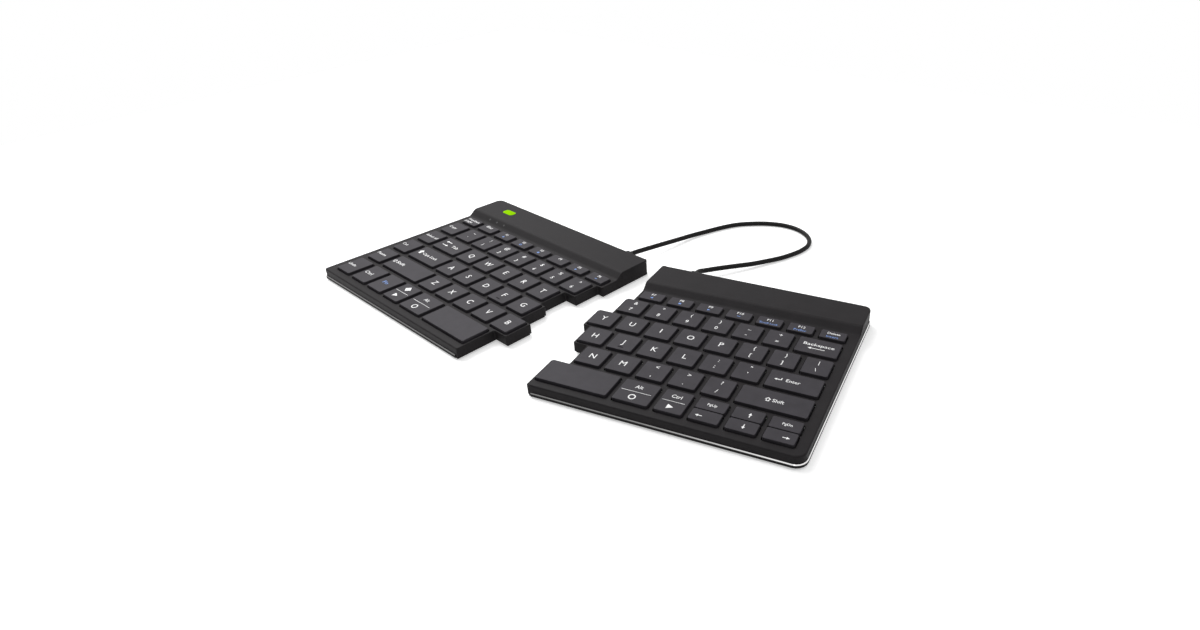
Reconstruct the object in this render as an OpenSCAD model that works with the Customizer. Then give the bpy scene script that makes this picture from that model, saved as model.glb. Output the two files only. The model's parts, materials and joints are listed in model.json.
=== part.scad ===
// Two-piece splayed keyboard: two low halves with raised rear bars, joined by a short cable.
// Millimetres, +Z up, the typist sits on the -Y side. The desk is z = 0, and the origin is the
// middle of the footprint of the two halves. Both halves are drawn in one docked layout, where
// x = 0 is the left edge of the first number key's cap and y = 0 the front edge of the lower letter
// row, and each half is then swung about one upright axis behind the bars.

/* [Layout] */
// Distance between the centres of neighbouring keys
pitch = 19; // [18:0.25:20]
// Gap between two caps in a row
key_gap = 3.6; // [3.2:0.1:4.4]
// Gap across the split between two caps when the halves are pushed together
split_gap = 4.8; // [4.4:0.1:5.6]
// Gap between two rows of caps
row_gap = 3.8; // [3.4:0.1:4.6]
// Distance between the centres of neighbouring function keys
function_pitch = 19.65; // [19.2:0.05:20]
// Depth of the caps in the function row
function_d = 8.6; // [8:0.1:10]
// Depth of the caps in the front row
front_d = 18; // [17:0.5:20]
// Width of the caps in the shortcut column
shortcut_w = 14.6; // [13.5:0.1:15.4]
// Gap between the two half-depth caps of an arrow stack
stack_gap = 0.7; // [0.5:0.1:1.2]

/* [Halves] */
// Angle between the two halves on the desk
splay = 17.4; // [12:0.2:24]
// How far behind the bars the halves swing about
swing_back = 41.1; // [36:0.1:60]
// Gap between the stepped edges when the halves are pushed together
dock_gap = 0.7; // [0.6:0.05:1.2]

/* [Case] */
// Case past the caps on the left half's outer side
left_bezel = 7.6; // [5.2:0.1:9]
// Case past the caps on the right half's outer side
right_bezel = 7; // [5.2:0.1:10]
// Case past the caps at the front
front_bezel = 5.5; // [5.2:0.1:9]
// Height of the case from its underside to the key web
case_h = 7.4; // [7:0.1:9.4]
// Height of the rear bar above the key web
bar_rise = 4; // [3:0.1:6]
// Web between the function caps and the foot of the bar's slope
bar_gap = 3.2; // [1.6:0.1:4]
// Depth of the bar's slope
slope_d = 5; // [3:0.1:6]
// Depth of the bar's flat top
bar_d = 24.6; // [23:0.2:32]
// Wall of the front, outer side and back
case_wall = 2; // [1.8:0.1:2.4]
// Wall of the bar's top, slope and split end
bar_wall = 1.6; // [1.2:0.1:2]
// Thickness of the key web
web_t = 1.5; // [1:0.1:1.8]
// Radius of the left half's front outer corner
left_corner_r = 2; // [1.5:0.5:9]
// Radius of the right half's front outer corner
right_corner_r = 6; // [1.5:0.5:9]
// Corner radius of the bar's outer back corners
bar_corner_r = 4.5; // [2.5:0.5:6]
// Corner radius of the bars' split ends at the back
bar_end_r = 1.8; // [1:0.1:3.5]
// Radius along the bar's upper back edge
bar_edge_r = 1.2; // [1:0.1:2.5]
// Corner radius along the stepped edge
step_r = 1; // [0.8:0.1:2]

/* [Base and trim] */
// Thickness of the base plate
base_t = 1.2; // [0.8:0.1:1.6]
// Height of the polished trim band
trim_h = 1.5; // [1:0.1:2]
// Thickness of the trim band
trim_t = 1.2; // [0.8:0.1:1.3]
// How far the trim band stands out of the case's wall
trim_out = 0.75; // [0.2:0.05:1]
// Clearance behind the trim band
trim_fit = 0.1; // [0.05:0.05:0.2]
// Distance from the stepped edge to the trim band's end
trim_end = 2.4; // [1.5:0.1:6]
// How far the base plate stands back from the stepped edge
base_back = 0.85; // [0.2:0.05:0.9]
// Height of the rubber feet
foot_h = 0.6; // [0.4:0.1:2]
// Radius of the rubber feet
foot_r = 5; // [3:0.5:7]
// Distance of the feet from the edges
foot_in = 20; // [16:1:26]

/* [Keys] */
// Height of the caps above the key web
cap_rise = 1.6; // [1.2:0.1:2]
// How far a key travels down
travel = 1.8; // [1.4:0.1:2]
// Gap between a cap and the web round it
hole_gap = 0.6; // [0.4:0.05:0.8]
// Room below a cap's rim when the key is down
floor_gap = 0.5; // [0.3:0.05:0.7]
// Corner radius of the caps
cap_r = 1; // [0.5:0.1:2]
// Thickness of a cap's top
cap_t = 1; // [0.8:0.1:1.2]
// Thickness of a cap's rim
cap_wall = 0.9; // [0.6:0.1:1.1]

/* [Mechanism] */
// Height of the ribs that carry the switch plate
plate_lift = 0.8; // [0.6:0.1:1]
// Thickness of the steel switch plate
plate_t = 0.6; // [0.4:0.1:0.8]
// Thickness of the contact membrane
membrane_t = 0.3; // [0.2:0.05:0.4]
// Clearance round the switch plate and membrane
sheet_fit = 0.3; // [0.2:0.05:0.5]
// Length of a scissor lever
lever_l = 10.4; // [9:0.1:11]
// Width of a scissor lever's bars
lever_w = 0.5; // [0.4:0.05:0.6]
// Thickness of a scissor lever
lever_t = 0.6; // [0.4:0.05:0.8]
// Clearance between levers, caps and domes
lever_fit = 0.15; // [0.1:0.05:0.2]
// Radius of the rubber domes under full-size keys
dome_r = 2.8; // [2:0.1:3.2]
// Thickness of a dome's skin
dome_t = 0.5; // [0.4:0.05:0.6]

/* [Fasteners] */
// Radius of a screw's shank
screw_r = 0.7; // [0.6:0.05:0.8]
// Length of a screw's shank
screw_l = 4.2; // [3.6:0.1:4.4]
// Radius of a screw's head
head_r = 1.35; // [1.1:0.05:1.4]
// Height of a screw's head
head_h = 0.6; // [0.4:0.05:0.6]
// Radius of the bosses that the screws go into
boss_r = 1.7; // [1.6:0.05:1.8]
// Clearance round a screw
screw_fit = 0.15; // [0.05:0.05:0.2]
// Distance of the front screws from the front corners
front_screw_in = 40; // [30:1:50]
// Distance of the bar's screws from the bar's ends
bar_screw_in = 8; // [6.5:0.5:9]

/* [Electronics] */
// Thickness of the circuit boards
board_t = 1; // [0.8:0.1:1.2]
// Depth of the circuit boards
board_d = 17; // [14:0.5:17.5]
// Length of the left board
left_board_l = 60; // [50:1:64]
// Distance of the left board from the bar's outer end
left_board_in = 15; // [13:0.5:18]
// Length of the right board
right_board_l = 50; // [40:1:70]
// Distance of the right board from the bar's split end
right_board_in = 15; // [12:0.5:20]
// Length of the battery
battery_l = 48; // [40:1:50]
// Thickness of the battery
battery_h = 5; // [4:0.1:6]
// Gap between the left board and the battery
battery_gap = 4; // [1:0.5:5]
// Width of the charging socket
socket_w = 9; // [8.5:0.1:10]
// Height of the charging socket
socket_h = 3.2; // [3:0.1:3.6]
// Length of the charging socket
socket_l = 7.4; // [6:0.1:9]
// Wall of the charging socket
socket_wall = 0.35; // [0.3:0.05:0.5]
// Distance of the charging socket from the left board's outer end
socket_in = 28; // [20:1:32]
// Distance of the power switch from the left board's outer end
switch_in = 44; // [38:1:50]
// Travel of the power switch
switch_travel = 2; // [1.5:0.1:3]
// Width of the power switch's knob
knob_w = 3; // [2:0.1:4]
// Height of the power switch's knob
knob_h = 1.6; // [1.2:0.1:2]
// How far the knob stands out of the back
knob_out = 1; // [0.5:0.1:1.5]
// Clearance round the knob and the socket in the back wall
port_fit = 0.3; // [0.2:0.05:0.4]
// Length of the lamp lens on the bar's top
lamp_w = 11; // [8:0.5:14]
// Depth of the lamp lens
lamp_d = 6; // [4:0.5:8]
// Place of the lamp lens from the left half's outer side
lamp_in = 27; // [18:0.5:40]
// Radius of the status windows on the slope
window_r = 0.8; // [0.5:0.1:1]
// Distance between the status windows
window_step = 8.4; // [4:0.2:12]
// Clearance round the lens and windows
lens_fit = 0.05; // [0.02:0.01:0.1]

/* [Cable] */
// Diameter of the link cable
cable_d = 3.4; // [2:0.1:3.8]
// Distance of the left grommet from the bar's split end
left_exit_in = 20.6; // [14:0.2:22]
// Distance of the right grommet from the bar's split end
right_exit_in = 22.5; // [18:0.5:34]
// Width of the cable grommets
grommet_w = 7; // [6:0.5:9]
// Height of the cable grommets
grommet_h = 5.2; // [4:0.1:5.6]
// How far the grommets stand out of the back
grommet_out = 3.5; // [2.5:0.1:5]
// Height of the cable's centre below the bar's top
cable_drop = 3.9; // [3.2:0.1:4.2]
// Clearance round the grommet's neck
grommet_fit = 0.1; // [0.05:0.05:0.2]

/* [Hidden] */
$fn = 32;
LEFT = 1;
RIGHT = -1;
past = 1; // how far a cutting shape runs past the face it cuts
tiny = 0.05; // play between a rigid piece and the stop it lies against

// Levels above the desk
z_base = foot_h;
z_lip = z_base + base_t;
z_trim = z_lip + trim_h;
z_web = z_base + case_h;
z_bar = z_web + bar_rise;
z_plate = z_lip + plate_lift;
z_sheet = z_plate + plate_t;
z_mech = z_sheet + membrane_t;
z_cap = z_web + cap_rise;
z_rim = z_mech + travel + floor_gap;
z_fold = z_cap - travel - 2 * lever_fit; // the mechanism stays under a pressed cap's top
z_board = z_sheet - board_t;
z_cable = z_bar - cable_drop;

// Key rectangles as [x, y, width, depth]; rows count from the front row, 0, to the function row, 5
cap_w = pitch - key_gap;
right_end = 14.5;
right_x = split_gap - key_gap; // how far the right half's keys stand off the left half's grid
function row_y(row) = row == 0 ? -row_gap - front_d : (row - 1) * pitch;
function row_d(row) = row == 0 ? front_d : row == 5 ? function_d : pitch - row_gap;
function key(row, from, to) = [from * pitch, row_y(row), (to - from) * pitch - key_gap, row_d(row)];
function run(row, from, count) = [for (i = [0:count - 1]) key(row, from + i, from + i + 1)];
function function_run(x) = [for (i = [0:6]) [x + i * function_pitch, row_y(5), cap_w, function_d]];
function shifted(keys) = [for (key = keys) key + [right_x, 0, 0, 0]];
function stack_d() = (front_d - stack_gap) / 2;
function stacked(from, to, upper) =
    [from * pitch, row_y(0) + upper * (stack_d() + stack_gap), (to - from) * pitch - key_gap, stack_d()];

split_u = [6.67, 7.25, 6.75, 6.5, 7]; // where each row is parted, in pitches
front_u = [4.3, 9.11, 10.37]; // where the left space, right alt and right ctrl keys begin
stack_u = [11.37, 12.41, 13.45, right_end];
shortcut_keys = [for (row = [0:5]) [-pitch, row_y(row), shortcut_w, row_d(row)]];
left_function = function_run(0);
right_function = shifted(function_run(right_end * pitch - key_gap - cap_w - 6 * function_pitch));
left_number = run(4, 0, 7);
tab = [key(3, 0, 1.5)];
left_upper = run(3, 1.5, 5);
caps_lock = [key(2, 0, 1.75)];
left_home = run(2, 1.75, 5);
left_shift = [key(1, 0, 2.25)];
left_lower = run(1, 2.25, 5);
left_ctrl = [key(0, 0, 1)];
fn = [key(0, 1, 2)];
left_system = [key(0, 2, 3)];
left_alt = [key(0, 3, front_u[0])];
left_space = [key(0, front_u[0], split_u[0])];
right_number = shifted(run(4, 7, 6));
backspace = shifted([key(4, 13, right_end)]);
right_upper = shifted(run(3, 6.5, 7));
backslash = shifted([key(3, 13.5, right_end)]);
right_home = shifted(run(2, 6.75, 6));
enter = shifted([key(2, 12.75, right_end)]);
right_lower = shifted(run(1, 7.25, 5));
right_shift = shifted([key(1, 12.25, right_end)]);
right_space = shifted([key(0, split_u[0], front_u[1])]);
right_alt = shifted([key(0, front_u[1], front_u[2])]);
right_ctrl = shifted([key(0, front_u[2], stack_u[0])]);
page_up = shifted([stacked(stack_u[0], stack_u[1], 1)]);
left_arrow = shifted([stacked(stack_u[0], stack_u[1], 0)]);
up_arrow = shifted([stacked(stack_u[1], stack_u[2], 1)]);
down_arrow = shifted([stacked(stack_u[1], stack_u[2], 0)]);
page_down = shifted([stacked(stack_u[2], stack_u[3], 1)]);
right_arrow = shifted([stacked(stack_u[2], stack_u[3], 0)]);
left_keys = concat(shortcut_keys, left_function, left_number, tab, left_upper, caps_lock, left_home,
    left_shift, left_lower, left_ctrl, fn, left_system, left_alt, left_space);
right_keys = concat(right_function, right_number, backspace, right_upper, backslash, right_home, enter,
    right_lower, right_shift, right_space, right_alt, right_ctrl, page_up, left_arrow, up_arrow,
    down_arrow, page_down, right_arrow);
function keys_of(side) = side == LEFT ? left_keys : right_keys;

// Edges of the halves in the docked layout
front_y = row_y(0) - front_bezel;
slope_y = row_y(5) + function_d + bar_gap;
bar_y = slope_y + slope_d;
back_y = bar_y + bar_d;
bar_split = (left_function[6][0] + cap_w + right_function[0][0]) / 2;
split_x = concat([for (u = split_u) u * pitch - key_gap + split_gap / 2], [bar_split]);
split_y = [front_y, -row_gap / 2, pitch - row_gap / 2, 2 * pitch - row_gap / 2, 3 * pitch - row_gap / 2,
    4 * pitch - row_gap / 2, back_y];
split_wall = min(split_gap, row_gap) / 2 - dock_gap / 2 - hole_gap;
function outer_x(side) =
    side == LEFT ? -pitch - left_bezel : right_end * pitch - key_gap + right_x + right_bezel;
function corner_r(side) = side == LEFT ? left_corner_r : right_corner_r;
// Stepped edge of a row, and the level of the step below it, both moved in by an inset
function edge_x(side, row, inset) = split_x[row] - side * (dock_gap / 2 + inset);
function step_y(side, row, inset) =
    split_y[row] + sign(side * (split_x[row] - split_x[row - 1])) * (dock_gap / 2 + inset);

// A closed outline with each corner rounded to its own radius, as points
function unit(v) = v / norm(v);
function arc(corner, before, after, r, steps) =
    let (u = unit(before - corner), v = unit(after - corner), half = acos(u * v) / 2)
    let (middle = corner + unit(u + v) * r / sin(half), turn = 180 - 2 * half)
    let (from = corner + u * r / tan(half) - middle, to = corner + v * r / tan(half) - middle)
    [for (i = [0:steps])
        middle + (from * sin((1 - i / steps) * turn) + to * sin(i / steps * turn)) / sin(turn)];
function rounded(points, radii, steps) =
    let (count = len(points))
    [for (i = [0:count - 1])
        each arc(points[i], points[(i + count - 1) % count], points[(i + 1) % count], radii[i], steps)];
function inset_r(r, inset) = max(r - inset, 0.3);
// Outline of a half, moved in by one distance at the front, outer side and back, and another at the steps
function outline(side, inset, step_inset) =
    let (x = outer_x(side) + side * inset, front = front_y + inset, back = back_y - inset)
    let (steps = [for (row = [0:5]) each [
        [edge_x(side, row, step_inset), row == 0 ? front : step_y(side, row, step_inset)],
        [edge_x(side, row, step_inset), row == 5 ? back : step_y(side, row + 1, step_inset)]]])
    let (last = len(steps) - 1)
    let (step_radii = [for (i = [0:last]) inset_r(i < last ? step_r : bar_end_r, step_inset)])
    rounded(concat([[x, front]], steps, [[x, back]]),
        concat([inset_r(corner_r(side), inset)], step_radii, [inset_r(bar_corner_r, inset)]), 5);
// Profile of the bar across its length, as [y, z], moved in by an inset
function bar_profile(inset, low) =
    let (angle = atan2(bar_rise, slope_d), top = z_bar - inset, back = back_y - inset)
    let (lean = function(z) slope_y + (z - z_web) / tan(angle) + inset / sin(angle))
    concat([[lean(low), low], [lean(top), top]],
        arc([back, top], [lean(top), top], [back, low], inset_r(bar_edge_r, inset), 5), [[back, low]]);

// Where the halves stand: each is swung by half the splay, and the footprint is centred
swing = [7.4 * pitch + right_x / 2, back_y + swing_back];
function swung(side, point) =
    let (p = point - swing, a = -side * splay / 2) [p.x * cos(a) - p.y * sin(a), p.x * sin(a) + p.y * cos(a)];
function outermost(side) =
    let (r = corner_r(side)) swung(side, [outer_x(side) + side * r, front_y + r]).x - side * r;
function back_corner(side) =
    swung(side, [outer_x(side) + side * bar_corner_r, back_y - bar_corner_r]).y + bar_corner_r;
function front_corner(side) =
    swung(side, [edge_x(side, 0, 0) - side * step_r, front_y + step_r]).y - step_r;
middle_x = (outermost(LEFT) + outermost(RIGHT)) / 2;
middle_y = (max(back_corner(LEFT), back_corner(RIGHT)) + min(front_corner(LEFT), front_corner(RIGHT))) / 2;
axis = [-middle_x, -middle_y]; // the upright swing axis, in the part's frame

// Fasteners, feet and what stands in the bar
boss_in = trim_t + trim_fit + boss_r + tiny * 2;
bar_middle = bar_y + bar_d / 2;
function screw_places(side) =
    let (bezel = outer_x(side) + side * boss_in, front = front_y + boss_in)
    [[bezel, row_y(1)], [bezel, row_y(4)], [outer_x(side) + side * front_screw_in, front],
        [edge_x(side, 0, 0) - side * front_screw_in, front]];
function bar_screw_places(side) =
    [[outer_x(side) + side * bar_screw_in, bar_middle],
        [edge_x(side, 5, 0) - side * bar_screw_in, bar_middle]];
function foot_places(side) =
    [for (y = [front_y + foot_in, back_y - foot_in], x = [outer_x(side) + side * foot_in,
        edge_x(side, y < 0 ? 0 : 5, 0) - side * foot_in]) [x, y]];
function board_x(side) =
    side == LEFT ? outer_x(LEFT) + left_board_in : edge_x(RIGHT, 5, 0) + right_board_in;
function board_l(side) = side == LEFT ? left_board_l : right_board_l;
board_back = back_y - case_wall - 2;
board_front = board_back - board_d;
function exit_x(side) = edge_x(side, 5, 0) - side * (side == LEFT ? left_exit_in : right_exit_in);
socket_x = board_x(LEFT) + socket_in;
switch_x = board_x(LEFT) + switch_in;
knob_z = z_sheet + 2;
slider_t = 0.8;
lamp_x = outer_x(LEFT) + lamp_in;
lamp_y = bar_middle;
slope_angle = atan2(bar_rise, slope_d);
window_x = lamp_x - 4.4;

// The cable's route from the left grommet to the right one, from the swing axis, z above the desk
cable_route = [
    [-31, -33.1, 8.1], [-30, -26.5, 7.4], [-28.6, -19, 6.5], [-26.9, -12, 5.8], [-25.2, -5, 5.1],
    [-23.2, 3, 4.3], [-20.5, 14, 3.2], [-17.3, 25.3, 2.3], [-12.5, 37.1, 1.8], [-6.2, 49.8, 1.7],
    [1, 60.7, 1.7], [10.2, 68.9, 1.7], [20.7, 75.4, 1.7], [32.4, 79.1, 1.7], [43.9, 78.6, 1.7],
    [53.7, 74.1, 1.7], [61, 66.7, 1.7], [64.7, 57, 1.7], [64.2, 47.4, 1.7], [61.5, 38.5, 1.7],
    [57.1, 28.6, 1.8], [51.2, 18.6, 2.1], [44.5, 7.5, 2.8], [37.8, -2.2, 3.7], [31.8, -10.5, 4.4],
    [26.9, -17.8, 5], [24.2, -23.4, 5.8], [22.9, -28.3, 7], [23.7, -34.2, 8.1]
];
cable_sides = 8;
function along(p, i, t) =
    let (a = i > 0 ? p[i - 1] : 2 * p[0] - p[1], b = p[i], c = p[i + 1])
    let (d = i + 2 < len(p) ? p[i + 2] : 2 * c - b)
    (2 * b + (c - a) * t + (2 * a - 5 * b + 4 * c - d) * t * t + (3 * b - a - 3 * c + d) * t * t * t) / 2;
function smoothed(p, parts) =
    concat([for (i = [0:len(p) - 2], k = [0:parts - 1]) along(p, i, k / parts)], [p[len(p) - 1]]);
function ring(p, i, r, sides) =
    let (ahead = unit(p[min(i + 1, len(p) - 1)] - p[max(i - 1, 0)]))
    let (aside = unit(cross(ahead, [0, 0, 1])), up = cross(aside, ahead))
    [for (k = [0:sides - 1]) let (a = 360 * (k + 0.5) / sides) p[i] + r * (cos(a) * aside + sin(a) * up)];

// Shapes that repeat
module on_half(side) {
    translate([axis.x, axis.y, 0])
        rotate(-side * splay / 2)
            translate([-swing.x, -swing.y, 0])
                children();
}

module prism(points, low, high) {
    translate([0, 0, low])
        linear_extrude(high - low)
            polygon(points);
}

module block(low, high) {
    translate([min(low.x, high.x), min(low.y, high.y), low.z])
        cube([abs(high.x - low.x), abs(high.y - low.y), high.z - low.z]);
}

function rectangle(key, grow, r) =
    let (x = [key[0] - grow, key[0] + key[2] + grow], y = [key[1] - grow, key[1] + key[3] + grow])
    rounded([[x[0], y[0]], [x[1], y[0]], [x[1], y[1]], [x[0], y[1]]], [r, r, r, r], 3);

module along_bar(profile, from, to) {
    translate([min(from, to), 0, 0])
        rotate([90, 0, 90])
            linear_extrude(abs(to - from))
                polygon(profile);
}

module pins(places, r, low, high) {
    for (place = places)
        translate([place.x, place.y, low])
            cylinder(r = r, h = high - low);
}

// The part of a half's footprint below the trim level that the case keeps behind the trim band
module behind_trim(side, back_off) {
    far = split_x[1] + side * pitch;
    x = outer_x(side) + side * (trim_t + back_off);
    low = z_lip - past;
    high = z_trim + past;
    block([x, front_y + trim_t + back_off, low], [far, back_y - trim_t - back_off, high]);
    for (end = [[0, front_y - trim_out - past, front_y + bar_d], [5, bar_y, back_y + trim_out + past]])
        block([edge_x(side, end[0], trim_end - back_off), end[1], low], [far, end[2], high]);
}

module top_case(side) {
    end_x = [outer_x(side), edge_x(side, 5, 0)];
    difference() {
        union() {
            difference() {
                union() {
                    prism(outline(side, 0, 0), z_trim, z_web);
                    intersection() {
                        prism(outline(side, 0, 0), z_lip, z_trim);
                        behind_trim(side, trim_fit);
                    }
                    intersection() {
                        prism(outline(side, 0, 0), z_trim, z_bar);
                        along_bar(bar_profile(0, z_trim), end_x[0], end_x[1]);
                    }
                }
                prism(outline(side, case_wall, split_wall), z_lip - past, z_web - web_t);
                intersection() {
                    prism(outline(side, case_wall, bar_wall), z_lip, z_bar);
                    along_bar(bar_profile(bar_wall, z_web - web_t - past), end_x[0], end_x[1]);
                }
                for (key = keys_of(side))
                    prism(rectangle(key, hole_gap, cap_r + hole_gap), z_web - web_t - past, z_web + past);
            }
            pins(screw_places(side), boss_r, z_mech, z_web - tiny);
            pins(bar_screw_places(side), boss_r, z_plate, z_bar - tiny);
        }
        pins(screw_places(side), screw_r + tiny, z_mech - past, z_lip + screw_l + screw_fit);
        pins(bar_screw_places(side), screw_r + tiny, z_plate - past, z_lip + screw_l + screw_fit);
        grommet_neck(side, grommet_fit);
        if (side == LEFT)
            left_openings();
    }
}

module left_openings() {
    back = back_y + trim_out + past;
    inside = back_y - case_wall - past;
    block([socket_x - socket_w / 2 - port_fit, inside, z_sheet - port_fit],
        [socket_x + socket_w / 2 + port_fit, back, z_sheet + socket_h + port_fit]);
    block([switch_x - knob_w / 2 - port_fit, inside, knob_z - knob_h / 2 - port_fit],
        [switch_x + knob_w / 2 + switch_travel + port_fit, back, knob_z + knob_h / 2 + port_fit]);
    lens(lens_fit, z_bar - bar_wall - past, z_bar + past);
    windows(window_r + lens_fit, past);
}

module lens(grow, low, high) {
    place = [lamp_x - lamp_w / 2, lamp_y - lamp_d / 2, lamp_w, lamp_d];
    prism(rectangle(place, grow, lamp_d / 2.5), low, high);
}

// Status windows, square to the slope and flush with it, or longer by some way at both ends
module windows(r, longer) {
    for (i = [0:2])
        translate([window_x + i * window_step, slope_y + slope_d / 2, z_web + bar_rise / 2])
            rotate([slope_angle, 0, 0])
                translate([0, 0, -bar_wall - longer])
                    cylinder(r = r, h = bar_wall + 2 * longer);
}

module trim_band(side) {
    difference() {
        prism(outline(side, -trim_out, 0), z_lip, z_trim);
        behind_trim(side, 0);
        if (side == LEFT)
            left_openings();
    }
}

module base_plate(side) {
    places = concat(screw_places(side), bar_screw_places(side));
    difference() {
        union() {
            prism(outline(side, 0, base_back), z_base, z_lip);
            intersection() {
                pins(places, boss_r, z_lip - tiny, z_plate);
                prism(outline(side, case_wall + tiny, split_wall + tiny), z_base, z_plate + past);
            }
            base_ribs(side);
            pins(board_posts(side), boss_r, z_lip - tiny, z_board);
        }
        pins(places, head_r + screw_fit, z_base - past, z_lip);
        pins(places, screw_r + screw_fit, z_base, z_plate + past);
    }
}

rib_w = 1.5;
rib_in = case_wall + 2;
module base_ribs(side) {
    for (row = [1:4])
        block([outer_x(side) + side * (boss_in + boss_r + rib_w), split_y[row] - rib_w / 2, z_lip - tiny],
            [side * min(side * split_x[row - 1], side * split_x[row]) - side * rib_in,
                split_y[row] + rib_w / 2, z_plate]);
}

function board_posts(side) =
    [for (x = [board_x(side) + 2 * boss_r, board_x(side) + board_l(side) - 2 * boss_r],
        y = [board_front + 2 * boss_r, board_back - 2 * boss_r]) [x, y]];

module feet(side) {
    pins(foot_places(side), foot_r, 0, z_base);
}

module screws(side) {
    for (place = concat(screw_places(side), bar_screw_places(side)))
        translate([place.x, place.y, z_lip]) {
            translate([0, 0, -head_h])
                difference() {
                    cylinder(r = head_r, h = head_h);
                    translate([0, 0, -past])
                        cylinder(r = head_r / 2, h = past + head_h / 2, $fn = 6);
                }
            cylinder(r = screw_r, h = screw_l);
        }
}

// Flat sheet under the keys of one half
module key_sheet(side, low, high, tail) {
    difference() {
        union() {
            intersection() {
                prism(outline(side, case_wall + sheet_fit, split_wall + sheet_fit), low, high);
                block([-10 * pitch, front_y, low - past], [20 * pitch, slope_y - sheet_fit, high + past]);
            }
            if (tail)
                block([board_x(side) + board_l(side) / 2 - tail_w / 2, slope_y - 2, low],
                    [board_x(side) + board_l(side) / 2 + tail_w / 2, board_front + tail_on, high]);
        }
        pins(screw_places(side), screw_r + screw_fit, low - past, high + past);
    }
}

tail_w = 14;
tail_on = 3;
module switch_plate(side) {
    key_sheet(side, z_plate, z_sheet, false);
}

module membrane(side) {
    key_sheet(side, z_sheet, z_mech, true);
}

// Half the depth, across the key, of the outer lever of a scissor pair
function lever_reach(key) = key[3] / 2 - cap_wall - 2 * lever_fit;
lever_tilt = asin((z_fold - z_mech - lever_t - 2 * tiny) / lever_l);

module lever(reach) {
    difference() {
        cube([lever_l, 2 * reach, lever_t], center = true);
        cube([lever_l - 4 * lever_w, 2 * (reach - lever_w), lever_t + past], center = true);
    }
}

module lever_pair(key) {
    translate([key[0] + key[2] / 2, key[1] + key[3] / 2, (z_mech + z_fold) / 2]) {
        rotate([0, lever_tilt, 0])
            lever(lever_reach(key));
        rotate([0, -lever_tilt, 0])
            lever(lever_reach(key) - lever_w - lever_fit);
    }
}

module dome(key) {
    r = min(dome_r, lever_reach(key) - 2 * lever_w - 2 * lever_fit);
    h = z_fold - z_mech;
    head = r * 0.6;
    translate([key[0] + key[2] / 2, key[1] + key[3] / 2, z_mech])
        rotate_extrude()
            polygon([[r - dome_t, 0], [r, 0], [r, dome_t], [head, h - 2 * dome_t], [head, h], [0, h],
                [0, h - 3 * dome_t], [head - dome_t, h - 3 * dome_t]]);
}

// A cap: a rounded shell with a post for the dome and two rails for the levers under its top
module cap(key) {
    rail = lever_l / 2 * cos(lever_tilt);
    difference() {
        prism(rectangle(key, 0, cap_r), z_rim, z_cap);
        prism(rectangle(key, -cap_wall, inset_r(cap_r, cap_wall)), z_rim - past, z_cap - cap_t);
    }
    translate([key[0] + key[2] / 2, key[1] + key[3] / 2, z_fold + lever_fit]) {
        cylinder(r = 1, h = z_cap - cap_t - z_fold);
        for (side = [-1, 1])
            translate([side * rail - lever_w, -lever_reach(key), 0])
                cube([2 * lever_w, 2 * lever_reach(key), z_cap - cap_t - z_fold]);
    }
}

module caps(side, keys) {
    color("#4a484a")
        on_half(side)
            for (key = keys)
                cap(key);
}

module circuit_board(side) {
    x = board_x(side);
    middle = x + board_l(side) / 2;
    block([x, board_front, z_board], [x + board_l(side), board_back, z_sheet]);
    // ribbon connector behind the membrane's tail, and the controller chip
    block([middle - tail_w / 2, board_front + tail_on + tiny, z_sheet],
        [middle + tail_w / 2, board_front + tail_on + chip_h * 2, z_sheet + chip_h]);
    block([x + chip_w, board_front + tail_on, z_sheet],
        [x + 2 * chip_w, board_front + tail_on + chip_w, z_sheet + chip_h]);
    if (side == LEFT)
        block([switch_x - knob_w, board_back - 3, z_sheet],
            [switch_x + knob_w + switch_travel, slider_y - tiny * 2, knob_z + knob_h]);
}

chip_w = 6;
chip_h = 1.2;
slider_y = back_y - case_wall - port_fit - slider_t;
module switch_slider() {
    block([switch_x - knob_w, slider_y, knob_z - knob_h],
        [switch_x + knob_w, slider_y + slider_t, knob_z + knob_h]);
    block([switch_x - knob_w / 2, slider_y, knob_z - knob_h / 2],
        [switch_x + knob_w / 2, back_y + knob_out, knob_z + knob_h / 2]);
}

module socket_shell() {
    back = back_y - tiny;
    low = [socket_x - socket_w / 2, back - socket_l, z_sheet];
    high = [socket_x + socket_w / 2, back, z_sheet + socket_h];
    wall = [socket_wall, socket_wall, socket_wall];
    difference() {
        block(low, high);
        block(low + wall, high - wall + [0, past, 0]);
    }
    block([low.x + 3 * socket_wall, low.y, (low.z + high.z) / 2 - socket_wall],
        [high.x - 3 * socket_wall, back - socket_l / 3, (low.z + high.z) / 2 + socket_wall]);
}

module grommet_neck(side, grow) {
    x = exit_x(side);
    block([x - grommet_w / 3 - grow, back_y - case_wall - past, z_cable - grommet_h / 3 - grow],
        [x + grommet_w / 3 + grow, back_y + past, z_bar - bar_wall - 2 * grommet_fit + grow]);
}

module cable_grommet(side) {
    x = exit_x(side);
    top = z_bar - bar_wall - grommet_fit;
    grommet_neck(side, 0);
    block([x - grommet_w / 2, back_y, z_cable - grommet_h / 2],
        [x + grommet_w / 2, back_y + grommet_out, z_cable + grommet_h / 2]);
    block([x - grommet_w / 2, back_y - case_wall - past, z_cable - grommet_h / 2],
        [x + grommet_w / 2, back_y - case_wall, top]);
}

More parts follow.
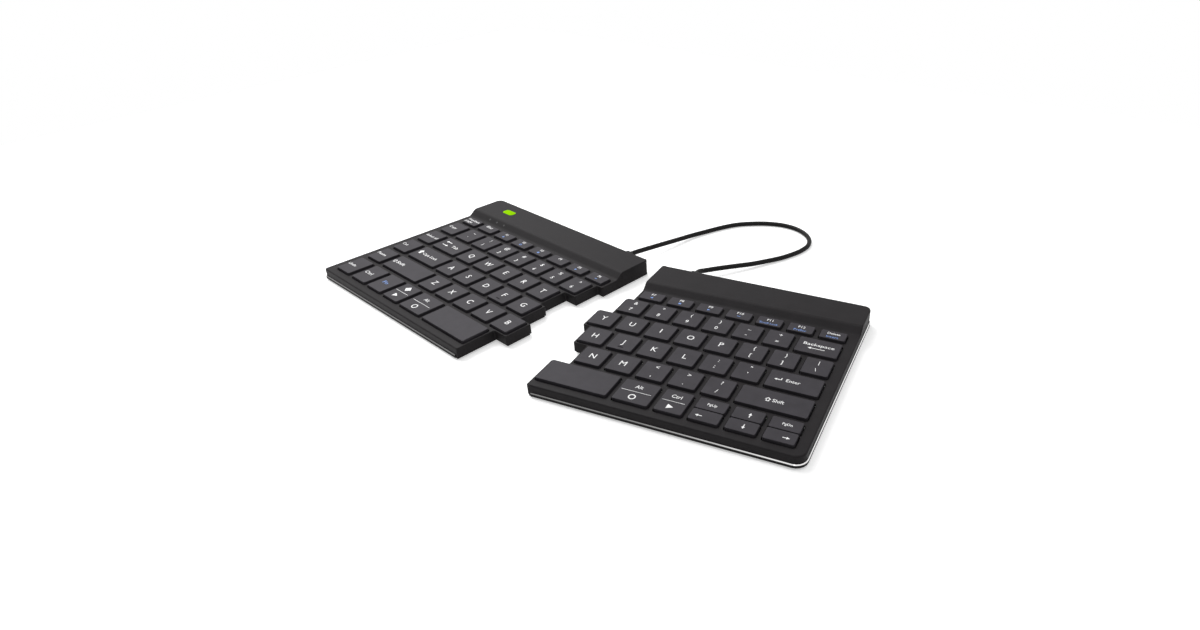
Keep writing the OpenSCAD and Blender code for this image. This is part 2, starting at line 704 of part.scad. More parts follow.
module cable_tube() {
    path = smoothed(cable_route, 2);
    count = len(path);
    points = [for (i = [0:count - 1]) each ring(path, i, cable_d / 2, cable_sides)];
    sides = [for (i = [0:count - 2], k = [0:cable_sides - 1])
        let (a = i * cable_sides, b = (k + 1) % cable_sides)
        each [[a + k, a + b, a + cable_sides + b], [a + k, a + cable_sides + b, a + cable_sides + k]]];
    last = (count - 1) * cable_sides;
    ends = [[for (k = [0:cable_sides - 1]) cable_sides - 1 - k], [for (k = [0:cable_sides - 1]) last + k]];
    translate([axis.x, axis.y, 0])
        polyhedron(points, concat(sides, ends));
}

// Sub-parts
module right_top_case() { color("#323030") on_half(RIGHT) top_case(RIGHT); }
module left_top_case() { color("#323030") on_half(LEFT) top_case(LEFT); }
module right_trim_band() { color("#d8d6d4") on_half(RIGHT) trim_band(RIGHT); }
module left_trim_band() { color("#d8d6d4") on_half(LEFT) trim_band(LEFT); }
module right_base_plate() { color("#262525") on_half(RIGHT) base_plate(RIGHT); }
module left_base_plate() { color("#262525") on_half(LEFT) base_plate(LEFT); }
module right_feet() { color("#1a1a1a") on_half(RIGHT) feet(RIGHT); }
module left_feet() { color("#1a1a1a") on_half(LEFT) feet(LEFT); }
module right_screws() { color("#b8b8ba") on_half(RIGHT) screws(RIGHT); }
module left_screws() { color("#b8b8ba") on_half(LEFT) screws(LEFT); }
module right_switch_plate() { color("#9a9c9e") on_half(RIGHT) switch_plate(RIGHT); }
module left_switch_plate() { color("#9a9c9e") on_half(LEFT) switch_plate(LEFT); }
module right_membrane() { color("#c9d2c8") on_half(RIGHT) membrane(RIGHT); }
module left_membrane() { color("#c9d2c8") on_half(LEFT) membrane(LEFT); }
module right_rubber_domes() { color("#d9d7d0") on_half(RIGHT) for (key = right_keys) dome(key); }
module left_rubber_domes() { color("#d9d7d0") on_half(LEFT) for (key = left_keys) dome(key); }
module right_scissor_levers() { color("#e8e6e2") on_half(RIGHT) for (key = right_keys) lever_pair(key); }
module left_scissor_levers() { color("#e8e6e2") on_half(LEFT) for (key = left_keys) lever_pair(key); }
module right_circuit_board() { color("#1f5a34") on_half(RIGHT) circuit_board(RIGHT); }
module left_circuit_board() { color("#1f5a34") on_half(LEFT) circuit_board(LEFT); }
module right_cable_grommet() { color("#2b2a2a") on_half(RIGHT) cable_grommet(RIGHT); }
module left_cable_grommet() { color("#2b2a2a") on_half(LEFT) cable_grommet(LEFT); }
module link_cable() { color("#232222") cable_tube(); }
module battery() {
    x = board_x(LEFT) + left_board_l + battery_gap;
    color("#b9bcc2")
        on_half(LEFT)
            block([x, board_front, z_lip], [x + battery_l, board_back, z_lip + battery_h]);
}
module charging_socket() { color("#c2c4c6") on_half(LEFT) socket_shell(); }
module power_switch() { color("#1d1c1c") on_half(LEFT) switch_slider(); }
module lamp_lens() { color("#9adf2a") on_half(LEFT) lens(0, z_bar - bar_wall, z_bar); }
module status_windows() { color("#6d6b6c") on_half(LEFT) windows(window_r, 0); }
module left_shortcut_keys() { caps(LEFT, shortcut_keys); }
module left_function_keys() { caps(LEFT, left_function); }
module left_number_keys() { caps(LEFT, left_number); }
module tab_key() { caps(LEFT, tab); }
module left_upper_letter_keys() { caps(LEFT, left_upper); }
module caps_lock_key() { caps(LEFT, caps_lock); }
module left_home_letter_keys() { caps(LEFT, left_home); }
module left_shift_key() { caps(LEFT, left_shift); }
module left_lower_letter_keys() { caps(LEFT, left_lower); }
module left_ctrl_key() { caps(LEFT, left_ctrl); }
module fn_key() { caps(LEFT, fn); }
module left_system_key() { caps(LEFT, left_system); }
module left_alt_key() { caps(LEFT, left_alt); }
module left_space_key() { caps(LEFT, left_space); }
module right_function_keys() { caps(RIGHT, right_function); }
module right_number_keys() { caps(RIGHT, right_number); }
module backspace_key() { caps(RIGHT, backspace); }
module right_upper_letter_keys() { caps(RIGHT, right_upper); }
module backslash_key() { caps(RIGHT, backslash); }
module right_home_letter_keys() { caps(RIGHT, right_home); }
module enter_key() { caps(RIGHT, enter); }
module right_lower_letter_keys() { caps(RIGHT, right_lower); }
module right_shift_key() { caps(RIGHT, right_shift); }
module right_space_key() { caps(RIGHT, right_space); }
module right_alt_key() { caps(RIGHT, right_alt); }
module right_ctrl_key() { caps(RIGHT, right_ctrl); }
module page_up_key() { caps(RIGHT, page_up); }
module left_arrow_key() { caps(RIGHT, left_arrow); }
module up_arrow_key() { caps(RIGHT, up_arrow); }
module down_arrow_key() { caps(RIGHT, down_arrow); }
module page_down_key() { caps(RIGHT, page_down); }
module right_arrow_key() { caps(RIGHT, right_arrow); }

right_top_case();
left_top_case();
right_trim_band();
left_trim_band();
right_base_plate();
left_base_plate();
right_feet();
left_feet();
right_screws();
left_screws();
right_switch_plate();
left_switch_plate();
right_membrane();
left_membrane();
right_rubber_domes();
left_rubber_domes();
right_scissor_levers();
left_scissor_levers();
right_circuit_board();
left_circuit_board();
right_cable_grommet();
left_cable_grommet();
link_cable();
battery();
charging_socket();
power_switch();
lamp_lens();
status_windows();
left_shortcut_keys();
left_function_keys();
left_number_keys();
tab_key();
left_upper_letter_keys();
caps_lock_key();
left_home_letter_keys();
left_shift_key();
left_lower_letter_keys();
left_ctrl_key();
fn_key();
left_system_key();
left_alt_key();
left_space_key();
right_function_keys();
right_number_keys();
backspace_key();
right_upper_letter_keys();
backslash_key();
right_home_letter_keys();
enter_key();
right_lower_letter_keys();
right_shift_key();
right_space_key();
right_alt_key();
right_ctrl_key();
page_up_key();
left_arrow_key();
up_arrow_key();
down_arrow_key();
page_down_key();
right_arrow_key();
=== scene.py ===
# %% [markdown]
# # A keyboard in two halves
# This lesson dresses a solid model of a low, split keyboard. The solid model is exact but plain: flat
# facets, sharp edges, no print on the keys. Here each visible piece gets its real form and finish.
# Everything is in metres and in the solid model's own frame, so a new piece goes where its solid is.

# %% Load the solid model
import json
import math

import bmesh
import bpy
from mathutils import Matrix, Vector


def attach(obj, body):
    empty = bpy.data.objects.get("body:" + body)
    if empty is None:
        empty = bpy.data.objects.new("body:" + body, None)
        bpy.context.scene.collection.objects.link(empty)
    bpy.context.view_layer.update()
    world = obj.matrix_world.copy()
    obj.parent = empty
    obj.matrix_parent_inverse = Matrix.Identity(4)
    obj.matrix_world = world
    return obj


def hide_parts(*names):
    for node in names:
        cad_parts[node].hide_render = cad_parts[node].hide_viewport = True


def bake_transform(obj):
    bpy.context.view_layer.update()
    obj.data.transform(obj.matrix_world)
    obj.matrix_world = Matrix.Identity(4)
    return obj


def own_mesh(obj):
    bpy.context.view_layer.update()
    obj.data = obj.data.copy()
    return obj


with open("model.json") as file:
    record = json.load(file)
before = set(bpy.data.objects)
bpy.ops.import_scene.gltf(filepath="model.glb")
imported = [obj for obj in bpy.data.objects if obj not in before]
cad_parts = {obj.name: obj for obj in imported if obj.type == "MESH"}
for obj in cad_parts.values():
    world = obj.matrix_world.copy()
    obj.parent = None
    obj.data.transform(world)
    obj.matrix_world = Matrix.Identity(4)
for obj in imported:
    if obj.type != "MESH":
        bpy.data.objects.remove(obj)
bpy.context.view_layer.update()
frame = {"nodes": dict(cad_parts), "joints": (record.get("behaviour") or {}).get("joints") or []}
nodes = frame["nodes"]
scene = bpy.context.scene
scene.view_settings.view_transform = "Standard"

# %% [markdown]
# ## The camera
# The keyboard was photographed from the front right, from about a forearm's length away and a little
# over thirty degrees above the desk. The picture's middle isn't where the lens points, as in any picture
# that was cropped afterwards, so the camera has a small sideways shift.

# %% Place the camera
CAMERA_PLACE = (0.2824, -0.3148, 0.2511)
CAMERA_TURN = (58.60, -0.68, 30.28)
FOCAL_LENGTH = 22.85
PICTURE_SHIFT = (-0.1062, 0.001)
NEAREST_SEEN = 0.01
camera = bpy.data.objects.new("camera", bpy.data.cameras.new("camera"))
camera.location = CAMERA_PLACE
camera.rotation_euler = [math.radians(angle) for angle in CAMERA_TURN]
camera.data.lens = FOCAL_LENGTH
camera.data.shift_x, camera.data.shift_y = PICTURE_SHIFT
camera.data.clip_start = NEAREST_SEEN
scene.collection.objects.link(camera)
scene.camera = camera
print("camera at", tuple(camera.location))

# %% [markdown]
# ## Two frames of work
# Both halves were drawn docked, in one flat layout in millimetres, and then swung apart about one upright
# axis behind them. Working in that layout keeps every edge parallel to x or y. One matrix per half then
# carries a finished mesh to its place on the desk.

# %% Layout and its way to the desk
MM = 0.001
LEFT, RIGHT = 1, -1
HALF_BODY = {LEFT: "left_half", RIGHT: "right_half"}
HALF_NAME = {LEFT: "left", RIGHT: "right"}
SPLAY = 17.4
SWING_POINT = Vector((141.2, 158.5, 0.0))
swing_joint = next(joint for joint in frame["joints"] if joint["name"] == "halves_swing")
swing_axis = Vector(swing_joint["pos_m"])


def desk_matrix(side):
    """Carries layout millimetres to the half's place on the desk, in metres."""
    turn = Matrix.Rotation(math.radians(-side * SPLAY / 2), 4, "Z")
    to_axis = Matrix.Translation(-SWING_POINT * MM)
    return Matrix.Translation(swing_axis) @ turn @ to_axis @ Matrix.Scale(MM, 4)


DESK = {side: desk_matrix(side) for side in (LEFT, RIGHT)}
LAYOUT = {side: DESK[side].inverted() for side in (LEFT, RIGHT)}
print("swing axis at", [round(v, 4) for v in swing_axis])

# %% [markdown]
# ## Finishes
# Moulded plastic is never one flat colour. Up close it has a fine grain from the mould, and the light
# that it throws back varies a little from place to place. One function builds that from two noise
# patterns: a wide one that shifts colour and gloss, and a fine one that raises the grain as bump. The
# pattern follows the object's own coordinates, so it needs no unwrapping.

# %% A maker of grained finishes
TINT_STOPS = (0.3, 0.7)
GLOSS_SPREAD = 0.05
PATCH_DETAIL, GRAIN_DETAIL = 4.0, 2.0
GRAIN_STRENGTH = 0.6


def wire(tree, node, inputs):
    """Sets a node's inputs: an output of another node is linked, anything else is a plain value."""
    for socket, value in inputs.items():
        if isinstance(value, bpy.types.NodeSocket):
            tree.links.new(value, node.inputs[socket])
        else:
            node.inputs[socket].default_value = value
    return node


def add_node(tree, kind, inputs):
    return wire(tree, tree.nodes.new(kind), inputs)


def grained(
    name, colour, rough, spread=0.12, patch=120.0, grain=3000.0, height=0.00001, metal=0.0, shine=0.5,
):
    """A finish with patches of slightly different colour and gloss, and a fine raised grain."""
    finish = bpy.data.materials.new(name)
    finish.use_nodes = True
    tree = finish.node_tree
    place = tree.nodes.new("ShaderNodeTexCoord").outputs["Object"]
    wide = {"Vector": place, "Scale": patch, "Detail": PATCH_DETAIL}
    patches = add_node(tree, "ShaderNodeTexNoise", wide).outputs["Fac"]
    tint = add_node(tree, "ShaderNodeValToRGB", {"Fac": patches})
    for stop, share, at in zip(tint.color_ramp.elements, (1 - spread, 1 + spread), TINT_STOPS):
        stop.color = (*[min(1.0, c * share) for c in colour], 1.0)
        stop.position = at
    reach = {"Value": patches, "To Min": rough - GLOSS_SPREAD, "To Max": rough + GLOSS_SPREAD}
    gloss = add_node(tree, "ShaderNodeMapRange", reach)
    look = {"Metallic": metal, "Specular IOR Level": shine}
    look["Base Color"] = tint.outputs["Color"]
    look["Roughness"] = gloss.outputs["Result"]
    if height > 0:
        fine = {"Vector": place, "Scale": grain, "Detail": GRAIN_DETAIL}
        grains = add_node(tree, "ShaderNodeTexNoise", fine).outputs["Fac"]
        raised = {"Height": grains, "Strength": GRAIN_STRENGTH, "Distance": height}
        look["Normal"] = add_node(tree, "ShaderNodeBump", raised).outputs["Normal"]
    wire(tree, tree.nodes["Principled BSDF"], look)
    return finish


print("finish maker ready")

# %% [markdown]
# The outside has few finishes. Caps and case are the same kind of plastic, but the caps are a shade
# lighter. Both are matt, so their share of mirrored light is low. The strip is plated, so it is all metal.

# %% The finishes of the outside
cap_finish = grained("cap_plastic", (0.040, 0.037, 0.0425), 0.5, height=0.000012, shine=0.1)
case_finish = grained(
    "case_plastic", (0.0157, 0.0142, 0.0153), 0.5, grain=2400.0, height=0.00002, shine=0.075,
)
# The base's dark plastic. The strips also carry it low down and in their groove, as painted shade.
base_and_shade_finish = grained("base_plastic", (0.012, 0.0115, 0.0115), 0.6, shine=0.1)
trim_finish = grained("polished_trim", (0.86, 0.85, 0.85), 0.12, spread=0.04, height=0.0, metal=1.0)
rubber_finish = grained("soft_rubber", (0.014, 0.0135, 0.0135), 0.62, height=0.00003, shine=0.2)
cable_finish = grained("cable_sheath", (0.007, 0.0066, 0.0066), 0.45, shine=0.1)
print("finishes:", len(bpy.data.materials))

# %% [markdown]
# ## The link cable
# A thin round cable joins the halves. It leaves the left bar straight backwards, drops to the desk, lies
# there in one open loop, and climbs into the right bar. Its route is a list of points about a centimetre
# apart, measured from the swing axis. A smooth curve runs through them, and a ring of points swept along
# that curve makes the sheath.

# %% The cable's sizes and route
CABLE_DIAMETER = 0.0034
CABLE_STEPS = 6
CABLE_SIDES = 16
CABLE_ROUTE = [
    (-31, -33.1, 8.1), (-30, -26.5, 7.4), (-28.6, -19, 6.5), (-26.9, -12, 5.8), (-25.2, -5, 5.1),
    (-23.2, 3, 4.3), (-20.5, 14, 3.2), (-17.3, 25.3, 2.3), (-12.5, 37.1, 1.8), (-6.2, 49.8, 1.7),
    (1, 60.7, 1.7), (10.2, 68.9, 1.7), (20.7, 75.4, 1.7), (32.4, 79.1, 1.7), (43.9, 78.6, 1.7),
    (53.7, 74.1, 1.7), (61, 66.7, 1.7), (64.7, 57, 1.7), (64.2, 47.4, 1.7), (61.5, 38.5, 1.7),
    (57.1, 28.6, 1.8), (51.2, 18.6, 2.1), (44.5, 7.5, 2.8), (37.8, -2.2, 3.7), (31.8, -10.5, 4.4),
    (26.9, -17.8, 5), (24.2, -23.4, 5.8), (22.9, -28.3, 7), (23.7, -34.2, 8.1),
]


def smooth_route(points, steps):
    """Points along the smooth curve that passes through the given ones."""
    ends = [2 * points[0] - points[1], *points, 2 * points[-1] - points[-2]]
    found = []
    for a, b, c, d in zip(ends, ends[1:], ends[2:], ends[3:]):
        for step in range(steps):
            t = step / steps
            bend = 2 * a - 5 * b + 4 * c - d
            found.append((2 * b + (c - a) * t + bend * t * t + (3 * b - a - 3 * c + d) * t ** 3) / 2)
    return [*found, points[-1]]


cable_line = smooth_route([swing_axis + Vector(p) * MM for p in CABLE_ROUTE], CABLE_STEPS)

# %% [markdown]
# Most pieces of this lesson are stacks of loops with the same count of points. A few helpers serve them
# all: they join a stack by quads, turn the finished shape into an object, and keep the soft edges from
# tinting the flat faces beside them.

# %% Helpers for ringed shapes
def stitch(shape, first, second):
    """Joins two closed rings of the same count by quads."""
    count = len(first)
    for i in range(count):
        shape.faces.new((first[i], first[(i + 1) % count], second[(i + 1) % count], second[i]))


def loft(shape, loops, closed=False):
    """Skins a stack of loops, fills its two ends where it is closed, and returns the rings of points."""
    rings = [[shape.verts.new(p) for p in loop] for loop in loops]
    for first, second in zip(rings, rings[1:]):
        stitch(shape, first, second)
    if closed:
        shape.faces.new(rings[0])
        shape.faces.new(rings[-1])
    return rings


def finished(name, shape, finish, matrix=None, smooth_angle=35.0):
    """Turns a bmesh into an object with clean outward normals and soft shading over low edges."""
    bmesh.ops.recalc_face_normals(shape, faces=shape.faces)
    mesh = bpy.data.meshes.new(name)
    shape.to_mesh(mesh)
    shape.free()
    if matrix is not None:
        mesh.transform(matrix)
    mesh.shade_smooth()
    mesh.set_sharp_from_angle(angle=math.radians(smooth_angle))
    mesh.materials.append(finish)
    piece = bpy.data.objects.new(name, mesh)
    scene.collection.objects.link(piece)
    return piece


def even_normals(piece):
    """Lets the large flat faces rule the shading, so that roundings don't bleed into them."""
    piece.modifiers.new("even_normals", "WEIGHTED_NORMAL").keep_sharp = True
    return piece


def lofted(name, loops, finish, matrix=None, smooth_angle=35.0):
    """An object from one closed stack of loops."""
    shape = bmesh.new()
    loft(shape, loops, closed=True)
    return finished(name, shape, finish, matrix, smooth_angle)


def round_loop(r, z, sides):
    """Points of a circle at one height."""
    turns = [2 * math.pi * k / sides for k in range(sides)]
    return [(r * math.cos(a), r * math.sin(a), z) for a in turns]


print("helpers ready")

# %% [markdown]
# The ring is set square to the cable's way at every point, so the sheath keeps its thickness in the bends.

# %% Sweep the cable
section = round_loop(CABLE_DIAMETER / 2, 0, CABLE_SIDES)
rings = []
for i, point in enumerate(cable_line):
    ahead = (cable_line[min(i + 1, len(cable_line) - 1)] - cable_line[max(i - 1, 0)]).normalized()
    aside = ahead.cross(Vector((0, 0, 1))).normalized()
    up = aside.cross(ahead)
    rings.append([point + a * aside + b * up for a, b, _ in section])
cable = lofted("link_cable_sheath", rings, cable_finish)
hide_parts("link_cable")
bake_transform(cable)
print("cable swept:", len(rings), "rings")

# %% [markdown]
# ## Where the caps are
# The caps' places are read from the solid model, so that each dressed cap lands on its own solid. A
# node can hold a whole row of caps. Seen along the row, every face of a cap covers a stretch, and
# stretches that overlap belong to one cap.

# %% Read the cap rectangles
LEFT_KEYS = [
    "left_shortcut_keys", "left_function_keys", "left_number_keys", "tab_key", "left_upper_letter_keys",
    "caps_lock_key", "left_home_letter_keys", "left_shift_key", "left_lower_letter_keys", "left_ctrl_key",
    "fn_key", "left_system_key", "left_alt_key", "left_space_key",
]
RIGHT_KEYS = [
    "right_function_keys", "right_number_keys", "backspace_key", "right_upper_letter_keys",
    "backslash_key", "right_home_letter_keys", "enter_key", "right_lower_letter_keys", "right_shift_key",
    "right_space_key", "right_alt_key", "right_ctrl_key", "page_up_key", "left_arrow_key",
    "up_arrow_key", "down_arrow_key", "page_down_key", "right_arrow_key",
]
key_side = {**{name: LEFT for name in LEFT_KEYS}, **{name: RIGHT for name in RIGHT_KEYS}}


def merged(stretches):
    """Joins overlapping (low, high) stretches."""
    joined = []
    for low, high in sorted(stretches):
        if joined and low <= joined[-1][1]:
            joined[-1][1] = max(joined[-1][1], high)
        else:
            joined.append([low, high])
    return joined


def cap_rectangles(name):
    """(x, y, width, depth) of each cap of a node in layout millimetres, along its row or column."""
    mesh = nodes[name].data
    points = [LAYOUT[key_side[name]] @ v.co for v in mesh.vertices]
    faces = [[points[i] for i in face.vertices] for face in mesh.polygons]
    across = merged([(min(p.x for p in face), max(p.x for p in face)) for face in faces])
    along = merged([(min(p.y for p in face), max(p.y for p in face)) for face in faces])
    return [(x[0], y[0], x[1] - x[0], y[1] - y[0]) for y in along for x in across]


caps = {name: cap_rectangles(name) for name in key_side}
print("caps:", sum(len(found) for found in caps.values()))

# %% [markdown]
# ## Key caps
# A cap of this kind is a shallow moulded lid: thin straight skirts, a soft edge of less than half a
# millimetre round the top, and a top that dips by a hair. It is lofted: rounded rectangles of the same
# point count are stacked from the rim up over the edge and in across the top, and another stack makes
# the hollow underneath.

# %% The form of a cap
CAP_LOW, CAP_TOP = 5.8, 9.6
CAP_CORNER = 1.0
CAP_WALL, CAP_SKIN = 0.9, 1.0
CAP_EDGE = 0.28
CAP_EDGE_STEPS = 4
CAP_DIP = 0.03
FLAT_FROM = 1.2
CORNER_STEPS = 5
LEAST_CORNER = 0.25


def rounded_loop(rectangle, inset, z, corner, steps=CORNER_STEPS):
    """Points of a rounded rectangle, moved in by an inset, at one height."""
    x, y, width, depth = rectangle
    r = max(corner - inset, LEAST_CORNER)
    middles = [
        (x + width - inset - r, y + inset + r, -90), (x + width - inset - r, y + depth - inset - r, 0),
        (x + inset + r, y + depth - inset - r, 90), (x + inset + r, y + inset + r, 180),
    ]
    loop = []
    for mx, my, start in middles:
        for step in range(steps + 1):
            a = math.radians(start + 90 * step / steps)
            loop.append((mx + r * math.cos(a), my + r * math.sin(a), z))
    return loop


def soft_edge(radius, steps):
    """(inset, drop) pairs of a quarter round, from the wall up to the top."""
    turns = [math.radians(90 * step / steps) for step in range(steps + 1)]
    return [(radius * (1 - math.cos(a)), radius * (1 - math.sin(a))) for a in turns]


def add_cap(shape, rectangle):
    stack = [(CAP_WALL, CAP_TOP - CAP_SKIN), (CAP_WALL, CAP_LOW), (0, CAP_LOW)]
    stack += [(inset, CAP_TOP - drop) for inset, drop in soft_edge(CAP_EDGE, CAP_EDGE_STEPS)]
    loops = [rounded_loop(rectangle, inset, z, CAP_CORNER) for inset, z in stack]
    loops.append(rounded_loop(rectangle, FLAT_FROM, CAP_TOP - CAP_DIP, CAP_CORNER + FLAT_FROM))
    loft(shape, loops, closed=True)


print("cap height", round(CAP_TOP - CAP_LOW, 2), "mm")

# %% [markdown]
# One cap of each half's home row carries a small raised bar. Each row's caps become one piece, which rides
# on the row and stands for the row's solid.

# %% Loft the caps
HOMING = {"left_home_letter_keys": 3, "right_home_letter_keys": 1}
HOMING_LENGTH, HOMING_THICK, HOMING_HEIGHT, HOMING_UP = 3.4, 0.6, 0.3, 2.6


def add_homing_bar(shape, rectangle):
    """The small raised bar that a finger finds its key by."""
    x, y, width, depth = rectangle
    left, front = x + (width - HOMING_LENGTH) / 2, y + HOMING_UP - HOMING_THICK / 2
    ridge = (left, front, HOMING_LENGTH, HOMING_THICK)
    soft = HOMING_THICK / 4
    stack = [(0, -soft), (0, HOMING_HEIGHT / 2), (soft, HOMING_HEIGHT)]
    top = CAP_TOP - CAP_DIP
    loft(shape, [rounded_loop(ridge, inset, top + up, 2 * soft) for inset, up in stack], closed=True)


def stand_for(piece, body, node):
    """Lets a piece ride on a body and stand for a solid, whose own mesh is hidden."""
    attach(piece, body)
    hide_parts(node)


for name, rectangles in caps.items():
    shape = bmesh.new()
    for rectangle in rectangles:
        add_cap(shape, rectangle)
    if name in HOMING:
        add_homing_bar(shape, rectangles[HOMING[name]])
    piece = even_normals(finished(name + "_caps", shape, cap_finish, DESK[key_side[name]]))
    stand_for(piece, name, name)
print("caps lofted for", len(caps), "nodes")

# %% [markdown]
# ## The case
# Each top case is one moulding: a flat web with a hole for every cap, a wall that drops to the desk side,
# and at the back a raised bar that climbs from the web by a short slope. Its outline has only edges along
# x and y, with rounded corners, and a stepped edge towards the other half.
#
# It could be cut from a block with booleans, but the soft edges would then need bevels over hundreds of
# small faces. Instead the outline is drawn once per ring, each ring moved in a little and down by the
# edge's rounding, so all rings have the same count of points and join by quads. The height of a point
# depends only on how far back it lies, which gives the slope with its soft foot and crest.

# %% Sizes and height of the case
SPLIT_X = [125.53, 136.55, 127.05, 122.3, 131.8, 136.55]
STEP_Y = [None, -1.9, 17.1, 36.1, 55.1, 74.1]
FRONT_Y, BACK_Y = -27.3, 117.4
OUTER_X = {LEFT: -26.6, RIGHT: 280.1}
DOCK_GAP = 0.7
CORNER_R = {LEFT: 2.0, RIGHT: 6.0}
BAR_CORNER_R, STEP_R = 4.5, 1.0
SPLIT_BACK_R = {LEFT: 2.6, RIGHT: 1.8}
LEAST_CORNER_R, LEAST_STEP_R = 0.3, 0.2
ARC_STEPS = 5
TRIM_END = 2.4
TRIM_STOPS = [(9, "case"), (0.02, "case"), (0, "split")]
SLOPE_FOOT, SLOPE_CREST, SLOPE_SOFT = 87.8, 92.8, 1.2
WEB_TOP, BAR_TOP = 8.0, 12.0
LIP, TRIM_TOP = 1.8, 3.3
SOFT_LINES = [-SLOPE_SOFT, -SLOPE_SOFT / 2, 0, SLOPE_SOFT / 2, SLOPE_SOFT]
BAR_LINES = [SLOPE_FOOT + line for line in SOFT_LINES] + [SLOPE_CREST + line for line in SOFT_LINES]
STEEP = (BAR_TOP - WEB_TOP) / (SLOPE_CREST - SLOPE_FOOT)


def top_height(y):
    """Height of the case at a distance back: web, soft foot, slope, soft crest, bar."""
    if y <= SLOPE_FOOT - SLOPE_SOFT:
        return WEB_TOP
    if y < SLOPE_FOOT + SLOPE_SOFT:
        return WEB_TOP + STEEP * (y - SLOPE_FOOT + SLOPE_SOFT) ** 2 / (4 * SLOPE_SOFT)
    if y < SLOPE_CREST - SLOPE_SOFT:
        return WEB_TOP + STEEP * (y - SLOPE_FOOT)
    if y < SLOPE_CREST + SLOPE_SOFT:
        return BAR_TOP - STEEP * (SLOPE_CREST + SLOPE_SOFT - y) ** 2 / (4 * SLOPE_SOFT)
    return BAR_TOP


print("slope rises", BAR_TOP - WEB_TOP, "mm over", SLOPE_CREST - SLOPE_FOOT)

# %% [markdown]
# Every point of the outline carries a mark. It says whether the edge belongs to the outside or to the
# stepped side, or it numbers the lines that cross the bar, so that later steps can find their points.

# %% The outline of a half
def arc_points(corner, before, after, radius, steps):
    """Points of the arc that rounds a corner between two neighbours."""
    u = (before - corner).normalized()
    v = (after - corner).normalized()
    half = u.angle(v) / 2
    middle = corner + (u + v).normalized() * radius / math.sin(half)
    first = corner + u * radius / math.tan(half) - middle
    last = corner + v * radius / math.tan(half) - middle
    turn = math.pi - 2 * half
    found = []
    for step in range(steps + 1):
        share = step / steps
        sweep = first * math.sin((1 - share) * turn) + last * math.sin(share * turn)
        found.append(middle + sweep / math.sin(turn))
    return found


def half_outline(side, front, outer, back, step):
    """(x, y, mark) round a half, each edge moved in by its own distance.
    Marks: 'case' or 'split' for the edge's kind, or a number on the lines across the bar."""
    split = [x - side * (DOCK_GAP / 2 + step) for x in SPLIT_X]
    rise = [0.0] + [math.copysign(1, side * (b - a)) for a, b in zip(SPLIT_X, SPLIT_X[1:])]
    level = [FRONT_Y + front]
    last = len(SPLIT_X) - 1
    level += [STEP_Y[i] + rise[i] * (DOCK_GAP / 2 + step) for i in range(1, last + 1)]
    level.append(BACK_Y - back)
    edge_x = OUTER_X[side] + side * outer
    front_round = max(CORNER_R[side] - (front + outer) / 2, LEAST_CORNER_R)
    corners = [(edge_x, level[0], front_round, "case")]
    convex, hollow = max(STEP_R - step, LEAST_STEP_R), STEP_R + step
    for row in range(last + 1):
        low_round = convex if row == 0 or rise[row] > 0 else hollow
        if row == last:
            high_round = SPLIT_BACK_R[side] - step
        else:
            high_round = convex if rise[row + 1] < 0 else hollow
        corners.append((split[row], level[row], low_round, "split"))
        corners.append((split[row], level[row + 1], high_round, "split"))
    corners.append((edge_x, level[-1], BAR_CORNER_R - (back + outer) / 2, "case"))
    points = []
    count = len(corners)
    for i, (x, y, radius, mark) in enumerate(corners):
        before = Vector(corners[i - 1][:2])
        after = Vector(corners[(i + 1) % count][:2])
        if i == count - 2:
            points += [(x, line, k) for k, line in enumerate(BAR_LINES)]
        for p in arc_points(Vector((x, y)), before, after, radius, ARC_STEPS):
            points.append((p.x, p.y, mark))
        if i == 0:
            points += [(split[0] - side * (TRIM_END + gap), y, kind) for gap, kind in TRIM_STOPS]
        if i == count - 2:
            points += [(x - side * (TRIM_END + gap), y, kind) for gap, kind in reversed(TRIM_STOPS)]
    points += [(edge_x, line, -1 - k) for k, line in reversed(list(enumerate(BAR_LINES)))]
    return points


print("outline points:", len(half_outline(LEFT, 0, 0, 0, 0)))

# %% [markdown]
# The rings run from the flat of the top, over the soft edge, down the wall, in under it and up again
# inside. What is left open are the top and the underside, which are filled between the innermost ring and
# the key holes. The same triangles serve for both, one set facing up and one down.

# %% The rings of a case
EDGE = {"front": 0.9, "outer": 0.9, "back": 1.2, "step": 0.5}
WALL = {"front": 2.0, "outer": 2.0, "back": 2.6, "step": 0.65}
WEB_SKIN = 1.5
EDGE_STEPS = 5


def on_split(mark):
    """True on the side towards the other half, the ends of the lines across the bar included."""
    return mark == "split" or (isinstance(mark, int) and mark >= 0)


def edge_round(mark, y):
    """Radius of the soft edge at a point of the outline."""
    if on_split(mark):
        return EDGE["step"]
    return EDGE["back"] if y > BACK_Y - BAR_CORNER_R else EDGE["outer"]


def case_rings(side):
    """Rings of (x, y, z) from the inner top round the wall to the inner underside."""
    inner = half_outline(side, **WALL)
    rings = [[(x, y, top_height(y)) for x, y, mark in inner]]
    for inset, drop in reversed(soft_edge(1.0, EDGE_STEPS)):
        moved = half_outline(side, **{edge: radius * inset for edge, radius in EDGE.items()})
        rings.append([(x, y, top_height(y) - edge_round(mark, y) * drop) for x, y, mark in moved])
    foot = half_outline(side, 0, 0, 0, 0)
    lows = [LIP if on_split(mark) else TRIM_TOP for x, y, mark in foot]
    rings.append([(x, y, z) for (x, y, mark), z in zip(foot, lows)])
    rings.append([(x, y, z) for (x, y, mark), z in zip(inner, lows)])
    rings.append([(x, y, top_height(y) - WEB_SKIN) for x, y, mark in inner])
    return rings, [mark for x, y, mark in inner]


print("rings of a case:", len(case_rings(LEFT)[0]))

# %% [markdown]
# A web with some forty holes is no shape for quads. Blender's triangle fill closes it between the outer
# loop and the loops of the holes. The slope and the bar have no holes, so plain bands across them do.

